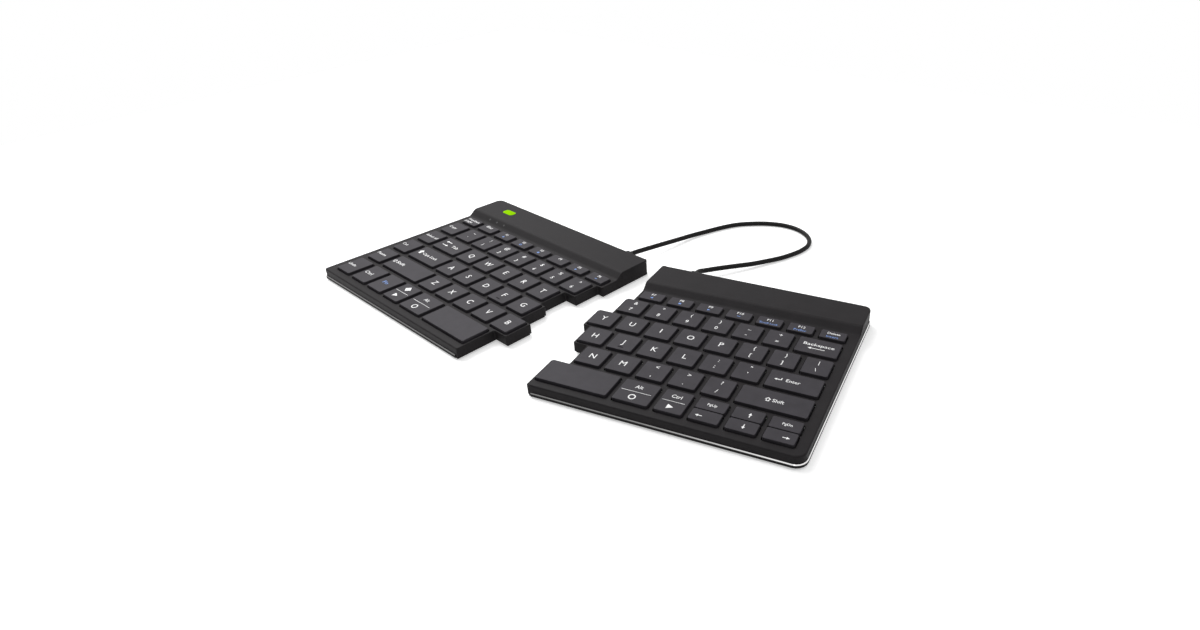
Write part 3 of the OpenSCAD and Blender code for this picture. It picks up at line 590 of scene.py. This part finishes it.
# %% Skin the top cases
HOLE_GAP, HOLE_EDGE, HOLE_CORNER = 0.6, 0.2, 1.0
HOLE_STACK = [(HOLE_GAP + HOLE_EDGE, 0), (HOLE_GAP, HOLE_EDGE), (HOLE_GAP, WEB_SKIN)]


def fill_level(shape, ring, marks, holes):
    """Closes one level: the web round its holes by triangles, the slope and bar by bands."""
    split_at = {mark: i for i, mark in enumerate(marks) if isinstance(mark, int) and mark >= 0}
    outer_at = {-1 - mark: i for i, mark in enumerate(marks) if isinstance(mark, int) and mark < 0}
    web = [*ring[: split_at[0] + 1], ring[outer_at[0]]]
    shape.edges.new((web[-2], web[-1]))
    edges = []
    for loop in (web, *holes):
        edges += [shape.edges.get(pair) for pair in zip(loop, [*loop[1:], loop[0]])]
    bmesh.ops.triangle_fill(shape, use_beauty=True, edges=edges)
    last = len(BAR_LINES) - 1
    for k in range(last):
        corners = (split_at[k], split_at[k + 1], outer_at[k + 1], outer_at[k])
        shape.faces.new([ring[corner] for corner in corners])
    shape.faces.new(ring[split_at[last]: outer_at[last] + 1])


def make_case(side, names):
    shape = bmesh.new()
    loops, marks = case_rings(side)
    rings = loft(shape, loops)
    tops, unders = [], []
    for name in names:
        for rectangle in caps[name]:
            hole = [rounded_loop(rectangle, -gap, WEB_TOP - down, HOLE_CORNER) for gap, down in HOLE_STACK]
            walls = loft(shape, hole)
            tops.append(walls[0])
            unders.append(walls[-1])
    fill_level(shape, rings[0], marks, tops)
    fill_level(shape, rings[-1], marks, unders)
    name = HALF_NAME[side] + "_top_case_moulding"
    return finished(name, shape, case_finish, DESK[side], smooth_angle=32.0)


cases = {LEFT: make_case(LEFT, LEFT_KEYS), RIGHT: make_case(RIGHT, RIGHT_KEYS)}
for side, piece in cases.items():
    even_normals(piece)
    stand_for(piece, HALF_BODY[side], HALF_NAME[side] + "_top_case")
    print(piece.name, len(piece.data.polygons), "faces")

# %% [markdown]
# ## Openings at the back
# The left bar's back wall has a mouth for the charging socket and a slot for the power switch. The wall
# is part of the moulding's skin, so here a boolean is the simple way: two blocks are taken out of the
# finished shell, and the blocks are thrown away.

# %% Cut the openings
SOCKET_X, SOCKET_MOUTH, SOCKET_Z = 16.4, (9.6, 3.8), 4.8
SWITCH_X, SWITCH_MOUTH, SWITCH_Z = 32.4, (5.6, 2.2), 5.2
SWITCH_MIDDLE = SWITCH_X + 1.0
MOUTH_FROM, MOUTH_TO, MOUTH_CORNER = BACK_Y - 6, BACK_Y + 3, 0.6


def opening(x, z, mouth):
    """A block with soft corners through the left bar's back wall."""
    rim = rounded_loop((x - mouth[0] / 2, z - mouth[1] / 2, *mouth), 0, 0, MOUTH_CORNER)
    loops = [[(a, depth, b) for a, b, _ in rim] for depth in (MOUTH_FROM, MOUTH_TO)]
    return lofted("opening", loops, case_finish, DESK[LEFT])


def cut(piece, cutters):
    """Takes the cutters out of a piece's mesh."""
    for cutter in cutters:
        taken = piece.modifiers.new("opening", "BOOLEAN")
        taken.operation = "DIFFERENCE"
        taken.object = cutter
    bpy.context.view_layer.update()
    whole = piece.evaluated_get(bpy.context.evaluated_depsgraph_get())
    mesh = bpy.data.meshes.new_from_object(whole)
    piece.modifiers.clear()
    piece.data = mesh


cutters = [opening(SOCKET_X, SOCKET_Z, SOCKET_MOUTH), opening(SWITCH_MIDDLE, SWITCH_Z, SWITCH_MOUTH)]
cut(cases[LEFT], cutters)
even_normals(cases[LEFT])
print("left moulding after the openings:", len(cases[LEFT].data.polygons), "faces")

# %% [markdown]
# ## The polished strip
# A thin bright strip runs round the lower edge of the front, the outer side and the back, and stands out
# of the wall by less than a millimetre. Its upper edge is cut off at a slant, which is what catches the
# light. The profile's points are moved along the same outline as the case, each by its own distance, so
# the strip follows every corner, and the rings are joined from end to end. Its lower faces take the base's
# dark plastic. At the very bottom this stands for the base plate's own dark edge. Higher up, on the
# polished metal, it is painted shade, where the strip would mirror the shadowed floor. The ledge of the
# narrow groove between the strip and the wall is painted dark as well, as painted shade.

# %% Sweep the strips
BEAD = [
    (1.2, 1.84), (-0.04, 1.84), (-0.04, 0.95), (-0.55, 0.95), (-0.7, 1.05), (-0.75, 1.25), (-0.75, 2.5),
    (-0.72, 2.72), (-0.28, 3.2), (-0.18, 3.22), (-0.12, 3.0), (1.2, 3.0),
]
# Below the first height the strip takes the base's dark plastic: at the very bottom the base plate's own
# edge, higher up painted shade on the metal. Faces that face up more than the second, the ledge in the
# groove by the wall, get painted shade as well.
BASE_EDGE_AND_SHADE_BELOW, LEVEL = 2.65, 0.9


def make_strip(side):
    lines = [half_outline(side, inset, inset, inset, 0) for inset, z in BEAD]
    marks = [mark for x, y, mark in lines[0]]
    kept = [i for i, mark in enumerate(marks) if not on_split(mark)]
    turn = next(i for i, (a, b) in enumerate(zip(kept, kept[1:])) if b > a + 1) + 1
    run = kept[turn:] + kept[:turn]
    loops = [[(line[i][0], line[i][1], z) for line, (inset, z) in zip(lines, BEAD)] for i in run]
    return lofted(HALF_NAME[side] + "_trim_strip", loops, trim_finish, DESK[side], smooth_angle=24.0)


for side in (LEFT, RIGHT):
    piece = make_strip(side)
    if side == LEFT:
        cut(piece, cutters)
    piece.data.materials.append(base_and_shade_finish)
    # Painted shade: the strip's low faces and its groove ledge take the dark base plastic, except the very
    # bottom, which is the base plate's own edge.
    for face in piece.data.polygons:
        face.material_index = int(face.center.z < BASE_EDGE_AND_SHADE_BELOW * MM or face.normal.z > LEVEL)
    even_normals(piece)
    stand_for(piece, HALF_BODY[side], HALF_NAME[side] + "_trim_band")
    print(piece.name, len(piece.data.polygons), "faces")
for cutter in cutters:
    bpy.data.objects.remove(cutter)

# %% [markdown]
# ## Boots, lamp and windows
# Where the cable leaves each bar, a soft rubber boot keeps it from kinking: a block with round edges
# that narrows towards the cable. It is lofted from rounded rectangles, as the caps are, but lying down.

# %% Loft the boots
EXIT_X = {LEFT: 115.6, RIGHT: 159.4}
EXIT_Z = 8.1
BOOT_W, BOOT_H, BOOT_CORNER = 7.0, 5.2, 2.2
BOOT_STEPS = [(0.25, -0.3), (0.25, 0.0), (0.0, 0.25), (0.0, 2.0), (0.2, 2.9), (0.6, 3.4), (0.7, 3.48)]


def make_boot(side):
    face = (EXIT_X[side] - BOOT_W / 2, EXIT_Z - BOOT_H / 2, BOOT_W, BOOT_H)
    loops = []
    for inset, out in BOOT_STEPS:
        loop = rounded_loop(face, inset, 0, BOOT_CORNER)
        loops.append([(a, BACK_Y + out, b) for a, b, _ in loop])
    return lofted(HALF_NAME[side] + "_cable_boot", loops, rubber_finish, DESK[side], smooth_angle=45.0)


for side in (LEFT, RIGHT):
    stand_for(make_boot(side), HALF_BODY[side], HALF_NAME[side] + "_cable_grommet")
print("boots made")

# %% [markdown]
# On the left bar's top sits a flat green lamp lens, a rounded rectangle with a low dome. It is dyed through
# and lit from below, so it also gives off a trace of light.

# %% Loft the lamp lens
LAMP = (-5.1, 102.1, 11.0, 6.0)
LAMP_CORNER, LAMP_STEPS = 2.4, 8
LAMP_DOME = [(0.0, -1.0), (0.0, 0.05), (0.12, 0.17), (0.5, 0.24), (1.2, 0.28), (2.2, 0.3)]
GLOW = {"Emission Color": (0.3, 0.85, 0.0, 1), "Emission Strength": 0.08}
lens_finish = grained(
    "green_lens", (0.226, 0.487, 0.003), 0.5, spread=0.1, patch=400.0, height=0.0, shine=0.0,
)
wire(lens_finish.node_tree, lens_finish.node_tree.nodes["Principled BSDF"], GLOW)
loops = [rounded_loop(LAMP, inset, BAR_TOP + up, LAMP_CORNER, LAMP_STEPS) for inset, up in LAMP_DOME]
lens = lofted("lamp_lens_dome", loops, lens_finish, DESK[LEFT], smooth_angle=60.0)
stand_for(lens, "left_half", "lamp_lens")
print("lens of", LAMP[2:], "mm")

# %% [markdown]
# Three small round windows on the slope show the keyboard's state. They are dark when it is off, so they
# are low lenses, hardly lighter than the case, laid square to the slope.

# %% Loft the windows
WINDOW_X, WINDOW_STEP, WINDOW_SIDES = -4.0, 8.4, 20
WINDOW_RINGS = [(0.8, -0.4), (0.8, 0.03), (0.7, 0.08), (0.4, 0.1)]
window_finish = grained("window_plastic", (0.036, 0.036, 0.037), 0.35, height=0.0, shine=0.2)
shape = bmesh.new()
slope_turn = Matrix.Rotation(math.atan(STEEP), 4, "X")
for i in range(3):
    spot = Vector((WINDOW_X + i * WINDOW_STEP, (SLOPE_FOOT + SLOPE_CREST) / 2, (WEB_TOP + BAR_TOP) / 2))
    place = Matrix.Translation(spot) @ slope_turn
    flat = [round_loop(r, up, WINDOW_SIDES) for r, up in WINDOW_RINGS]
    loft(shape, [[place @ Vector(p) for p in loop] for loop in flat], closed=True)
windows = finished("status_window_lenses", shape, window_finish, DESK[LEFT], smooth_angle=50.0)
stand_for(windows, "left_half", "status_windows")
print("windows made")

# %% [markdown]
# ## What moves under the caps
# Under each cap a rubber dome gives the springy feel, and two crossed plastic frames, the scissor levers,
# keep the cap level. Both fold flat as the key goes down. Each row's domes and levers are pieces that ride
# on the half.

# %% Makers of domes and levers
MECH_LOW, MECH_TOP = 3.5, 7.5
DOME_R, DOME_HEAD, DOME_WAIST, DOME_SIDES = 2.8, 0.6, 0.82, 18
DOME_SKIN, DOME_ROOF, DOME_SOFT, DOME_ROOM = 0.5, 1.0, 0.25, 1.3
LEVER_LENGTH, LEVER_BAR, LEVER_THICK = 10.4, 0.5, 0.6
LEVER_SLACK, LEVER_ROOM, LEVER_GAP = 0.1, 0.3, 0.15
LEVER_TILT = math.asin((MECH_TOP - MECH_LOW - LEVER_THICK - LEVER_SLACK) / LEVER_LENGTH)


def lever_reach(depth):
    return depth / 2 - CAP_WALL - LEVER_ROOM


def add_dome(shape, middle, depth):
    r = min(DOME_R, lever_reach(depth) - DOME_ROOM)
    high = MECH_TOP - MECH_LOW
    head = DOME_HEAD * r
    profile = [
        (head - DOME_SKIN, high - DOME_ROOF - DOME_SKIN), (r - DOME_SKIN, 0), (r, 0), (r, DOME_SKIN),
        (DOME_WAIST * r, high / 2), (head, high - DOME_ROOF), (head, high - DOME_SOFT),
        (head - DOME_SOFT, high),
    ]
    flat = [round_loop(radius, MECH_LOW + up, DOME_SIDES) for radius, up in profile]
    loft(shape, [[middle + Vector(p) for p in loop] for loop in flat], closed=True)


def add_lever(shape, middle, reach, tilt):
    """A flat frame with one bar at each end, tilted across its middle."""
    centre = Vector((middle.x, middle.y, (MECH_LOW + MECH_TOP) / 2))
    place = Matrix.Translation(centre) @ Matrix.Rotation(tilt, 4, "Y")
    outer = (LEVER_LENGTH / 2, reach)
    inner = (LEVER_LENGTH / 2 - 2 * LEVER_BAR, reach - LEVER_BAR)
    loops = []
    for (a, b), z in ((outer, -1), (outer, 1), (inner, 1), (inner, -1)):
        corners = ((-a, -b), (a, -b), (a, b), (-a, b))
        loops.append([place @ Vector((x, y, z * LEVER_THICK / 2)) for x, y in corners])
    rings = loft(shape, loops)
    stitch(shape, rings[-1], rings[0])


print("levers tilt by", round(math.degrees(LEVER_TILT), 1), "degrees")

# %% [markdown]
# A pressed key leaves its dome and levers a little over half their height.

# %% Set the domes and levers
dome_finish = grained("dome_rubber", (0.66, 0.65, 0.60), 0.6, height=0.00003)
lever_finish = grained("lever_plastic", (0.72, 0.71, 0.68), 0.4)
MECHANISM = {
    "domes": ("_rubber_domes", "dome_rubber", dome_finish),
    "levers": ("_scissor_levers", "lever_plastic", lever_finish),
}


def mechanism_piece(name, kind, shape):
    side = key_side[name]
    node, slot, finish = MECHANISM[kind]
    piece = finished(f"{name}_{kind}", shape, finish, DESK[side], smooth_angle=40.0)
    stand_for(piece, HALF_BODY[side], HALF_NAME[side] + node)
    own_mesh(piece)


for name, rectangles in caps.items():
    domes, levers = bmesh.new(), bmesh.new()
    for x, y, width, depth in rectangles:
        middle = Vector((x + width / 2, y + depth / 2, 0))
        add_dome(domes, middle, depth)
        add_lever(levers, middle, lever_reach(depth), LEVER_TILT)
        add_lever(levers, middle, lever_reach(depth) - LEVER_BAR - LEVER_GAP, -LEVER_TILT)
    mechanism_piece(name, "domes", domes)
    mechanism_piece(name, "levers", levers)
print("mechanisms under", len(caps), "rows")

# %% [markdown]
# ## Legends
# The caps carry plain white legends, and a few have a second, blue one that goes with the Fn key. They are
# printed, so they are only a hair thick. Words come from the built-in font, turned into thin solids; arrows
# and other marks are drawn as small outlines. All legends of a row are one piece that rides on the row.

# %% A maker of words
LEGEND_LOW, LEGEND_TOP = 9.54, 9.588
FONT_STEPS, STROKE_WEIGHT = 3, 0.02
WHITE, BLUE = 0, 1
legend_finishes = [
    grained("legend_white", (0.85, 0.85, 0.85), 0.5, spread=0.05, height=0.0, shine=0.2),
    grained("legend_blue", (0.16, 0.27, 0.58), 0.5, spread=0.05, height=0.0, shine=0.2),
]


def lettering(words, size, weight):
    """A thin solid of words, centred left to right, standing on y = 0, its strokes made bolder."""
    curve = bpy.data.curves.new("lettering", "FONT")
    curve.body = words
    curve.align_x = "CENTER"
    curve.size = size
    curve.offset = weight
    curve.resolution_u = FONT_STEPS
    curve.extrude = (LEGEND_TOP - LEGEND_LOW) / 2
    holder = bpy.data.objects.new("lettering", curve)
    mesh = bpy.data.meshes.new_from_object(holder)
    bpy.data.objects.remove(holder)
    bpy.data.curves.remove(curve)
    return mesh


CAPITAL = max(v.co.y for v in lettering("H", 1.0, 0).vertices)


def paint_since(shape, before, colour):
    """Gives one colour to the faces that were added since a count."""
    shape.faces.ensure_lookup_table()
    for face in shape.faces[before:]:
        face.material_index = colour


def add_words(shape, words, x, y, height, colour, width):
    """Sets words about a point, stretched to a width where one is given."""
    mesh = lettering(words, height / CAPITAL, STROKE_WEIGHT)
    if width:
        reach = [v.co.x for v in mesh.vertices]
        mesh.transform(Matrix.Diagonal((width / (max(reach) - min(reach)), 1, 1, 1)))
    mesh.transform(Matrix.Translation((x, y - height / 2, (LEGEND_LOW + LEGEND_TOP) / 2)))
    before = len(shape.faces)
    shape.from_mesh(mesh)
    bpy.data.meshes.remove(mesh)
    paint_since(shape, before, colour)


def word(words, x=0.0, y=0.0, height=2.3, colour=WHITE, width=None):
    return lambda shape, cx, cy: add_words(shape, words, cx + x, cy + y, height, colour, width)


print("a capital takes", round(CAPITAL, 3), "of the font's size")

# %% [markdown]
# A mark is a flat outline raised to a thin solid. A sign with a hollow, such as a ring, is the band between
# an outer and an inner outline. Word and mark alike are kept as small functions that wait for their cap.

# %% A maker of marks
ARROW_WING = 0.55


def add_mark(shape, outline, x, y, colour, inner=None):
    """Raises a flat outline, or the band between it and an inner one, to a thin solid."""
    before = len(shape.faces)
    levels = [[(x + a, y + b, z) for a, b in outline] for z in (LEGEND_LOW, LEGEND_TOP)]
    if inner is None:
        loft(shape, levels, closed=True)
    else:
        levels += [[(x + a, y + b, z) for a, b in inner] for z in (LEGEND_TOP, LEGEND_LOW)]
        rings = loft(shape, levels)
        stitch(shape, rings[-1], rings[0])
    paint_since(shape, before, colour)


def mark(outline, x=0.0, y=0.0, colour=WHITE, inner=None):
    return lambda shape, cx, cy: add_mark(shape, outline, cx + x, cy + y, colour, inner)


def arrow(length, turn, head=1.5, shaft=0.36):
    """Outline of an arrow, turned by degrees from pointing right."""
    tip = length / 2
    neck = tip - head
    wing = ARROW_WING * head
    flat = [(tip, 0), (neck, wing), (neck, shaft / 2), (-tip, shaft / 2)]
    flat += [(-tip, -shaft / 2), (neck, -shaft / 2), (neck, -wing)]
    c, s = math.cos(math.radians(turn)), math.sin(math.radians(turn))
    return [(a * c - b * s, a * s + b * c) for a, b in flat]


def bar(width, height):
    a, b = width / 2, height / 2
    return [(-a, -b), (a, -b), (a, b), (-a, b)]


def circle(r, sides=20):
    return [(a, b) for a, b, _ in round_loop(r, 0, sides)]


def wedge(size, way):
    return [(-way * size / 2, -size / 2), (way * size / 2, 0), (-way * size / 2, size / 2)]


def house(wide, high, stem):
    """Outline of an arrow head on a short stem, pointing away."""
    a, b, c = wide / 2, high / 2, stem / 2
    return [(0, b), (a, 0), (c, 0), (c, -b), (-c, -b), (-c, 0), (-a, 0)]


SHIFT_OUTER = house(3.7, 3.2, 1.9)
SHIFT_INNER = [(a, b - 0.03) for a, b in house(2.0, 2.1, 1.05)]
LOCK_SIGN = house(4.5, 4.4, 2.0)
RETURN = [(-2.1, 0), (-0.7, 0.95), (-0.7, 0.27), (1.5, 0.27), (1.5, 1.6)]
RETURN += [(2.1, 1.6), (2.1, -0.27), (-0.7, -0.27), (-0.7, -0.95)]
print("legend makers ready")

# %% [markdown]
# Most legends repeat a few layouts. Letters stand in the middle of their caps. Keys with two signs have the
# shifted one behind the plain one. Each function key has its blue second use in front of its name.
# Two-system keys are parted by a thin line, with a plain mark in front of it.

# %% Layouts that repeat
LETTER_HIGH, PAIR_HIGH, SIDE_HIGH, NAME_HIGH = 4.0, 2.9, 2.1, 2.1
PAIR_BACK, CAP_LEFT, PART_LINE = 3.9, -6.9, 0.26
NAME_Y, NAME_OVER_WORD_Y, SECOND_Y = 1.9, 1.4, -1.5


def letters(row):
    return [[word(sign, -0.1, 0.1, LETTER_HIGH)] for sign in row]


def pairs(row, front=-3.2):
    """Keys with a shifted sign behind the plain one."""
    found = []
    for upper, lower in row.split():
        found.append([word(upper, 0.2, PAIR_BACK, PAIR_HIGH), word(lower, -0.1, front, PAIR_HIGH)])
    return found


def parted(upper, width, lower):
    return [upper, mark(bar(width, PART_LINE), -0.3, 0.0), lower]


def from_left(sign, width, y):
    """A word that starts at the left edge of a narrow cap."""
    return word(sign, width / 2 + CAP_LEFT, y, SIDE_HIGH, width=width)


def second(sign, width):
    return word(sign, -0.2, -2.2, 1.7, BLUE, width)


dot = mark(circle(0.8), 0, SECOND_Y, BLUE)
ahead_mark = mark(wedge(1.9, 1), 0, SECOND_Y, BLUE)
back_mark = mark(wedge(1.9, -1), 0, SECOND_Y, BLUE)
block_mark = mark(bar(1.7, 1.7), 0, SECOND_Y, BLUE)
ring_mark = mark(circle(1.0), 0, SECOND_Y, BLUE, circle(0.55))
minus_mark = mark(bar(2.0, 0.55), 0, SECOND_Y, BLUE)
seconds = {1: dot, 2: ring_mark, 3: block_mark, 5: ahead_mark, 6: minus_mark, 7: back_mark, 8: block_mark}
seconds.update({9: ahead_mark, 10: minus_mark, 11: second("Scroll Lock", 11.7), 12: second("PrtScr", 7.8)})
ring_sign = mark(circle(2.1), -0.5, -4.5, WHITE, circle(1.45))
wedge_sign = mark(wedge(3.6, 1), -0.2, -4.5)
diamond_sign = mark(circle(2.6, 4), -0.5, 4.5)


def function_key(number):
    y = NAME_Y if number < 11 else NAME_OVER_WORD_Y
    printed = [word(f"F{number}", 0, y, NAME_HIGH)]
    if number in seconds:
        printed.append(seconds[number])
    return printed


print("second uses:", len(seconds))

# %% [markdown]
# The table gives each row's legends in the order of its caps, from the left, or from the front for the
# column of shortcut keys. Where the real print is wider or narrower than the font, a width is given.

# %% The legends of every key
legends = {
    "left_shortcut_keys": [
        [from_left("Undo", 8.3, -0.4)], [from_left("Paste", 9.4, 0.3)], [from_left("Cut", 6.0, 0.3)],
        [from_left("Select all", 13.0, 0.3)], [from_left("Copy", 8.3, 0.6)],
        [from_left("Previous", 13.0, 1.6), from_left("page", 8.0, -1.4)],
    ],
    "left_function_keys": [[word("Esc", -0.8, 1.9, 2.4, width=6.6)], *map(function_key, range(1, 7))],
    "right_function_keys": [
        *map(function_key, range(7, 13)), [word("Delete", 0, 1.4, 2.0), second("Insert", 7.2)],
    ],
    "left_number_keys": pairs("~` !1 @2 #3 $4 %5 ^6"),
    "right_number_keys": pairs("&7 *8 (9 )0 _- +="),
    "backspace_key": [
        [word("Backspace", 0, 1.6, 2.5, width=18.3), mark(arrow(10, 180, 1.9, 0.5), -0.6, -2.3)],
    ],
    "tab_key": [[
        mark(arrow(6.0, 180, 2.0, 0.6), -6.3, 2.7), mark(arrow(6.0, 0, 2.0, 0.6), -5.4, -1.7),
        word("Tab", 3.9, 0.1, 2.5, width=6.6),
    ]],
    "left_upper_letter_keys": letters("QWERT"),
    "right_upper_letter_keys": letters("YUIOP") + pairs("{[ }]"),
    "backslash_key": pairs("|\\"),
    "caps_lock_key": [[mark(LOCK_SIGN, -10.9, 0.6), word("Caps Lock", 0.2, 0.1, 2.4, width=15.8)]],
    "left_home_letter_keys": letters("ASDFG"),
    "right_home_letter_keys": letters("HJKL") + pairs(":; \"'", -1.9),
    "enter_key": [[mark(RETURN, -9.1, -0.3), word("Enter", -0.9, 0.3, 2.5)]],
    "left_shift_key": [
        [mark(SHIFT_OUTER, -17, 0.6, WHITE, SHIFT_INNER), word("Shift", -10.3, 0.6, 2.5, width=8.7)],
    ],
    "left_lower_letter_keys": letters("ZXCVB"),
    "right_lower_letter_keys": letters("NM") + pairs("<, >. ?/", -3.6),
    "right_shift_key": [[mark(SHIFT_OUTER, -3.7, 0.1, WHITE, SHIFT_INNER), word("Shift", 1.9, 0.1, 2.5)]],
    "left_ctrl_key": [[word("Ctrl", -2.2, 0.3, 2.5, width=7.6)]],
    "fn_key": [[word("Fn", -0.7, 0.3, 2.6, BLUE, 4.8)]],
    "left_system_key": [parted(diamond_sign, 12.8, wedge_sign)],
    "left_alt_key": [parted(word("Alt", -0.8, 4.4, 2.5), 17.3, ring_sign)],
    "right_alt_key": [parted(word("Alt", -0.4, 4.3, 2.5), 17.2, ring_sign)],
    "right_ctrl_key": [parted(word("Ctrl", -0.2, 4.3, 2.5), 12.6, wedge_sign)],
    "page_up_key": [[word("PgUp", 0, 0.1, 1.75)]],
    "left_arrow_key": [[mark(arrow(3.8, 180, 1.7, 0.5), -3.6, -0.5)]],
    "up_arrow_key": [[mark(arrow(3.6, 90, 1.7, 0.5), 0.8, -0.2)]],
    "down_arrow_key": [[mark(arrow(3.6, -90, 1.7, 0.5), 0.7, -0.3)]],
    "page_down_key": [[word("PgDn", 0.6, 0.1, 1.75)]],
    "right_arrow_key": [[mark(arrow(3.8, 0, 1.7, 0.5), 3.0, -0.5)]],
}
print("rows with legends:", len(legends))

# %% [markdown]
# All legends of a row are gathered in one thin piece. Points that the font leaves on top of each other are
# joined, so that its mesh is clean.

# %% Print the legends
SAME_POINT = 0.0005
for name, printed in legends.items():
    shape = bmesh.new()
    for (x, y, width, depth), signs in zip(caps[name], printed):
        for sign in signs:
            sign(shape, x + width / 2, y + depth / 2)
    bmesh.ops.remove_doubles(shape, verts=shape.verts, dist=SAME_POINT)
    matrix = DESK[key_side[name]]
    piece = finished(name + "_legends", shape, legend_finishes[WHITE], matrix, smooth_angle=20.0)
    piece.data.materials.append(legend_finishes[BLUE])
    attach(piece, name)
    print(piece.name, len(piece.data.polygons), "faces")

# %% [markdown]
# ## The pieces that stay as they are
# The base plates, feet, screws and everything inside have the right shape already. They get their real
# finishes, and the larger ones a narrow bevel, because a moulded or stamped edge is never razor sharp.

# %% Finish the plain solids
steel_finish = grained("plate_steel", (0.36, 0.37, 0.38), 0.35, spread=0.08, patch=60.0, metal=1.0)
bright_steel = grained("bright_steel", (0.52, 0.52, 0.53), 0.28, spread=0.06, metal=1.0)
film_finish = grained("contact_film", (0.50, 0.56, 0.49), 0.3, spread=0.1, height=0.0)
board_finish = grained("board_laminate", (0.012, 0.085, 0.034), 0.35, spread=0.35, patch=500.0)
foil_finish = grained("battery_foil", (0.50, 0.51, 0.53), 0.3, spread=0.1, patch=200.0, metal=0.8)
knob_finish = grained("switch_plastic", (0.03, 0.03, 0.03), 0.5)
PLAIN = {
    "base_plate": (base_and_shade_finish, 0.15), "feet": (rubber_finish, 0.25), "screws": (bright_steel, 0.0),
    "switch_plate": (steel_finish, 0.0), "membrane": (film_finish, 0.0),
    "circuit_board": (board_finish, 0.1),
}
WELD_REACH, BEVEL_STEPS, BEVEL_ANGLE = 0.000005, 2, 40
plain = {f"{half}_{piece}": look for half in HALF_NAME.values() for piece, look in PLAIN.items()}
plain["battery"] = (foil_finish, 0.5)
plain["charging_socket"] = (bright_steel, 0.08)
plain["power_switch"] = (knob_finish, 0.15)
for name, (finish, bevel) in plain.items():
    for slot in nodes[name].material_slots:
        slot.material = finish
    if bevel:
        nodes[name].modifiers.new("joined", "WELD").merge_threshold = WELD_REACH
        edge = nodes[name].modifiers.new("edge", "BEVEL")
        edge.width = bevel * MM
        edge.segments = BEVEL_STEPS
        edge.limit_method = "ANGLE"
        edge.angle_limit = math.radians(BEVEL_ANGLE)
print("finished", len(plain), "plain solids")

# %% [markdown]
# ## Light, background and floor
# The photograph has a plain white studio ground with a faint soft shadow. One broad lamp stands on the
# left, like a window, so the left half is lit more than the right one, and a weaker one hangs overhead.

# %% Hang the lamps
LAMPS = {
    "window_lamp": {"place": (-0.55, 0.15, 0.75), "aim": (-0.1, 0, 0), "size": (0.9, 0.7), "power": 9.5},
    "overhead_lamp": {"place": (0.2, -0.1, 0.9), "aim": (0, 0, 0), "size": (1.2, 1.2), "power": 4.5},
}


def area_lamp(name, place, aim, size, power):
    lamp = bpy.data.objects.new(name, bpy.data.lights.new(name, "AREA"))
    lamp.data.shape = "RECTANGLE"
    lamp.data.size, lamp.data.size_y = size
    lamp.data.energy = power
    lamp.location = place
    lamp.rotation_euler = (Vector(aim) - Vector(place)).to_track_quat("-Z", "Y").to_euler()
    scene.collection.objects.link(lamp)


for name, settings in LAMPS.items():
    area_lamp(name, **settings)
print("lamps:", len(LAMPS))

# %% [markdown]
# All round is white, apart from one dim corner of the room in front on the left, which the polished strips
# mirror. The camera, mirrors and glass see this bright room, while the light that bounces about comes from
# a dimmer one, so that the shadows stay.

# %% Surround it with white
PURE_WHITE = (1, 1, 1, 1)
BOUNCED_LEVEL = 0.2
DARK_CORNER = Vector((-0.64, -0.64, 0.42)).normalized()
CORNER_FADE = {"From Min": 0.80, "From Max": 0.92, "To Min": 1.0, "To Max": 0.24}


def greater(tree, first, second):
    """The greater one of two node outputs."""
    node = tree.nodes.new("ShaderNodeMath")
    node.operation = "MAXIMUM"
    return wire(tree, node, {0: first, 1: second}).outputs["Value"]


def seen_directly(tree):
    """A node output that is 1 for rays from the camera, mirrors and glass, and 0 for bounced light."""
    rays = tree.nodes.new("ShaderNodeLightPath").outputs
    seen = greater(tree, rays["Is Camera Ray"], rays["Is Glossy Ray"])
    return greater(tree, seen, rays["Is Transmission Ray"])


scene.world = bpy.data.worlds.new("studio")
scene.world.use_nodes = True
tree = scene.world.node_tree
bounced = wire(tree, tree.nodes["Background"], {"Color": PURE_WHITE, "Strength": BOUNCED_LEVEL})
towards = tree.nodes.new("ShaderNodeVectorMath")
towards.operation = "DOT_PRODUCT"
wire(tree, towards, {0: tree.nodes.new("ShaderNodeTexCoord").outputs["Generated"], 1: DARK_CORNER})
fade = add_node(tree, "ShaderNodeMapRange", {"Value": towards.outputs["Value"], **CORNER_FADE})
fade.interpolation_type = "SMOOTHSTEP"
eye = tree.nodes.new("ShaderNodeLightPath").outputs["Is Camera Ray"]
level = greater(tree, fade.outputs["Result"], eye)
bright = add_node(tree, "ShaderNodeBackground", {"Color": PURE_WHITE, "Strength": level})
rooms = {0: seen_directly(tree), 1: bounced.outputs[0], 2: bright.outputs[0]}
choose = add_node(tree, "ShaderNodeMixShader", rooms)
wire(tree, tree.nodes["World Output"], {"Surface": choose.outputs[0]})
print("world nodes:", len(tree.nodes))

# %% [markdown]
# The floor is matt pale paper. For the camera and for mirrors it adds a plain white of its own, so that it
# stays white and keeps the soft shadow.

# %% Lay the floor
PAPER = {"Base Color": (0.8, 0.8, 0.8, 1), "Roughness": 0.9}
PAPER_LIFT = 0.46
FLOOR_SIZE, FLOOR_PLACE = 1.2, (-0.08, 0.05, -0.0002)
floor_finish = bpy.data.materials.new("white_ground")
floor_finish.use_nodes = True
tree = floor_finish.node_tree
paper = wire(tree, tree.nodes["Principled BSDF"], PAPER).outputs[0]
glow = add_node(tree, "ShaderNodeEmission", {"Strength": PAPER_LIFT}).outputs[0]
lift = add_node(tree, "ShaderNodeAddShader", {0: paper, 1: glow}).outputs[0]
pick = add_node(tree, "ShaderNodeMixShader", {0: seen_directly(tree), 1: paper, 2: lift})
wire(tree, tree.nodes["Material Output"], {"Surface": pick.outputs[0]})
bpy.ops.mesh.primitive_plane_add(size=FLOOR_SIZE, location=FLOOR_PLACE)
floor = bpy.context.object
floor.name = "white_floor"
floor.data.materials.append(floor_finish)
print("floor of", FLOOR_SIZE, "m")
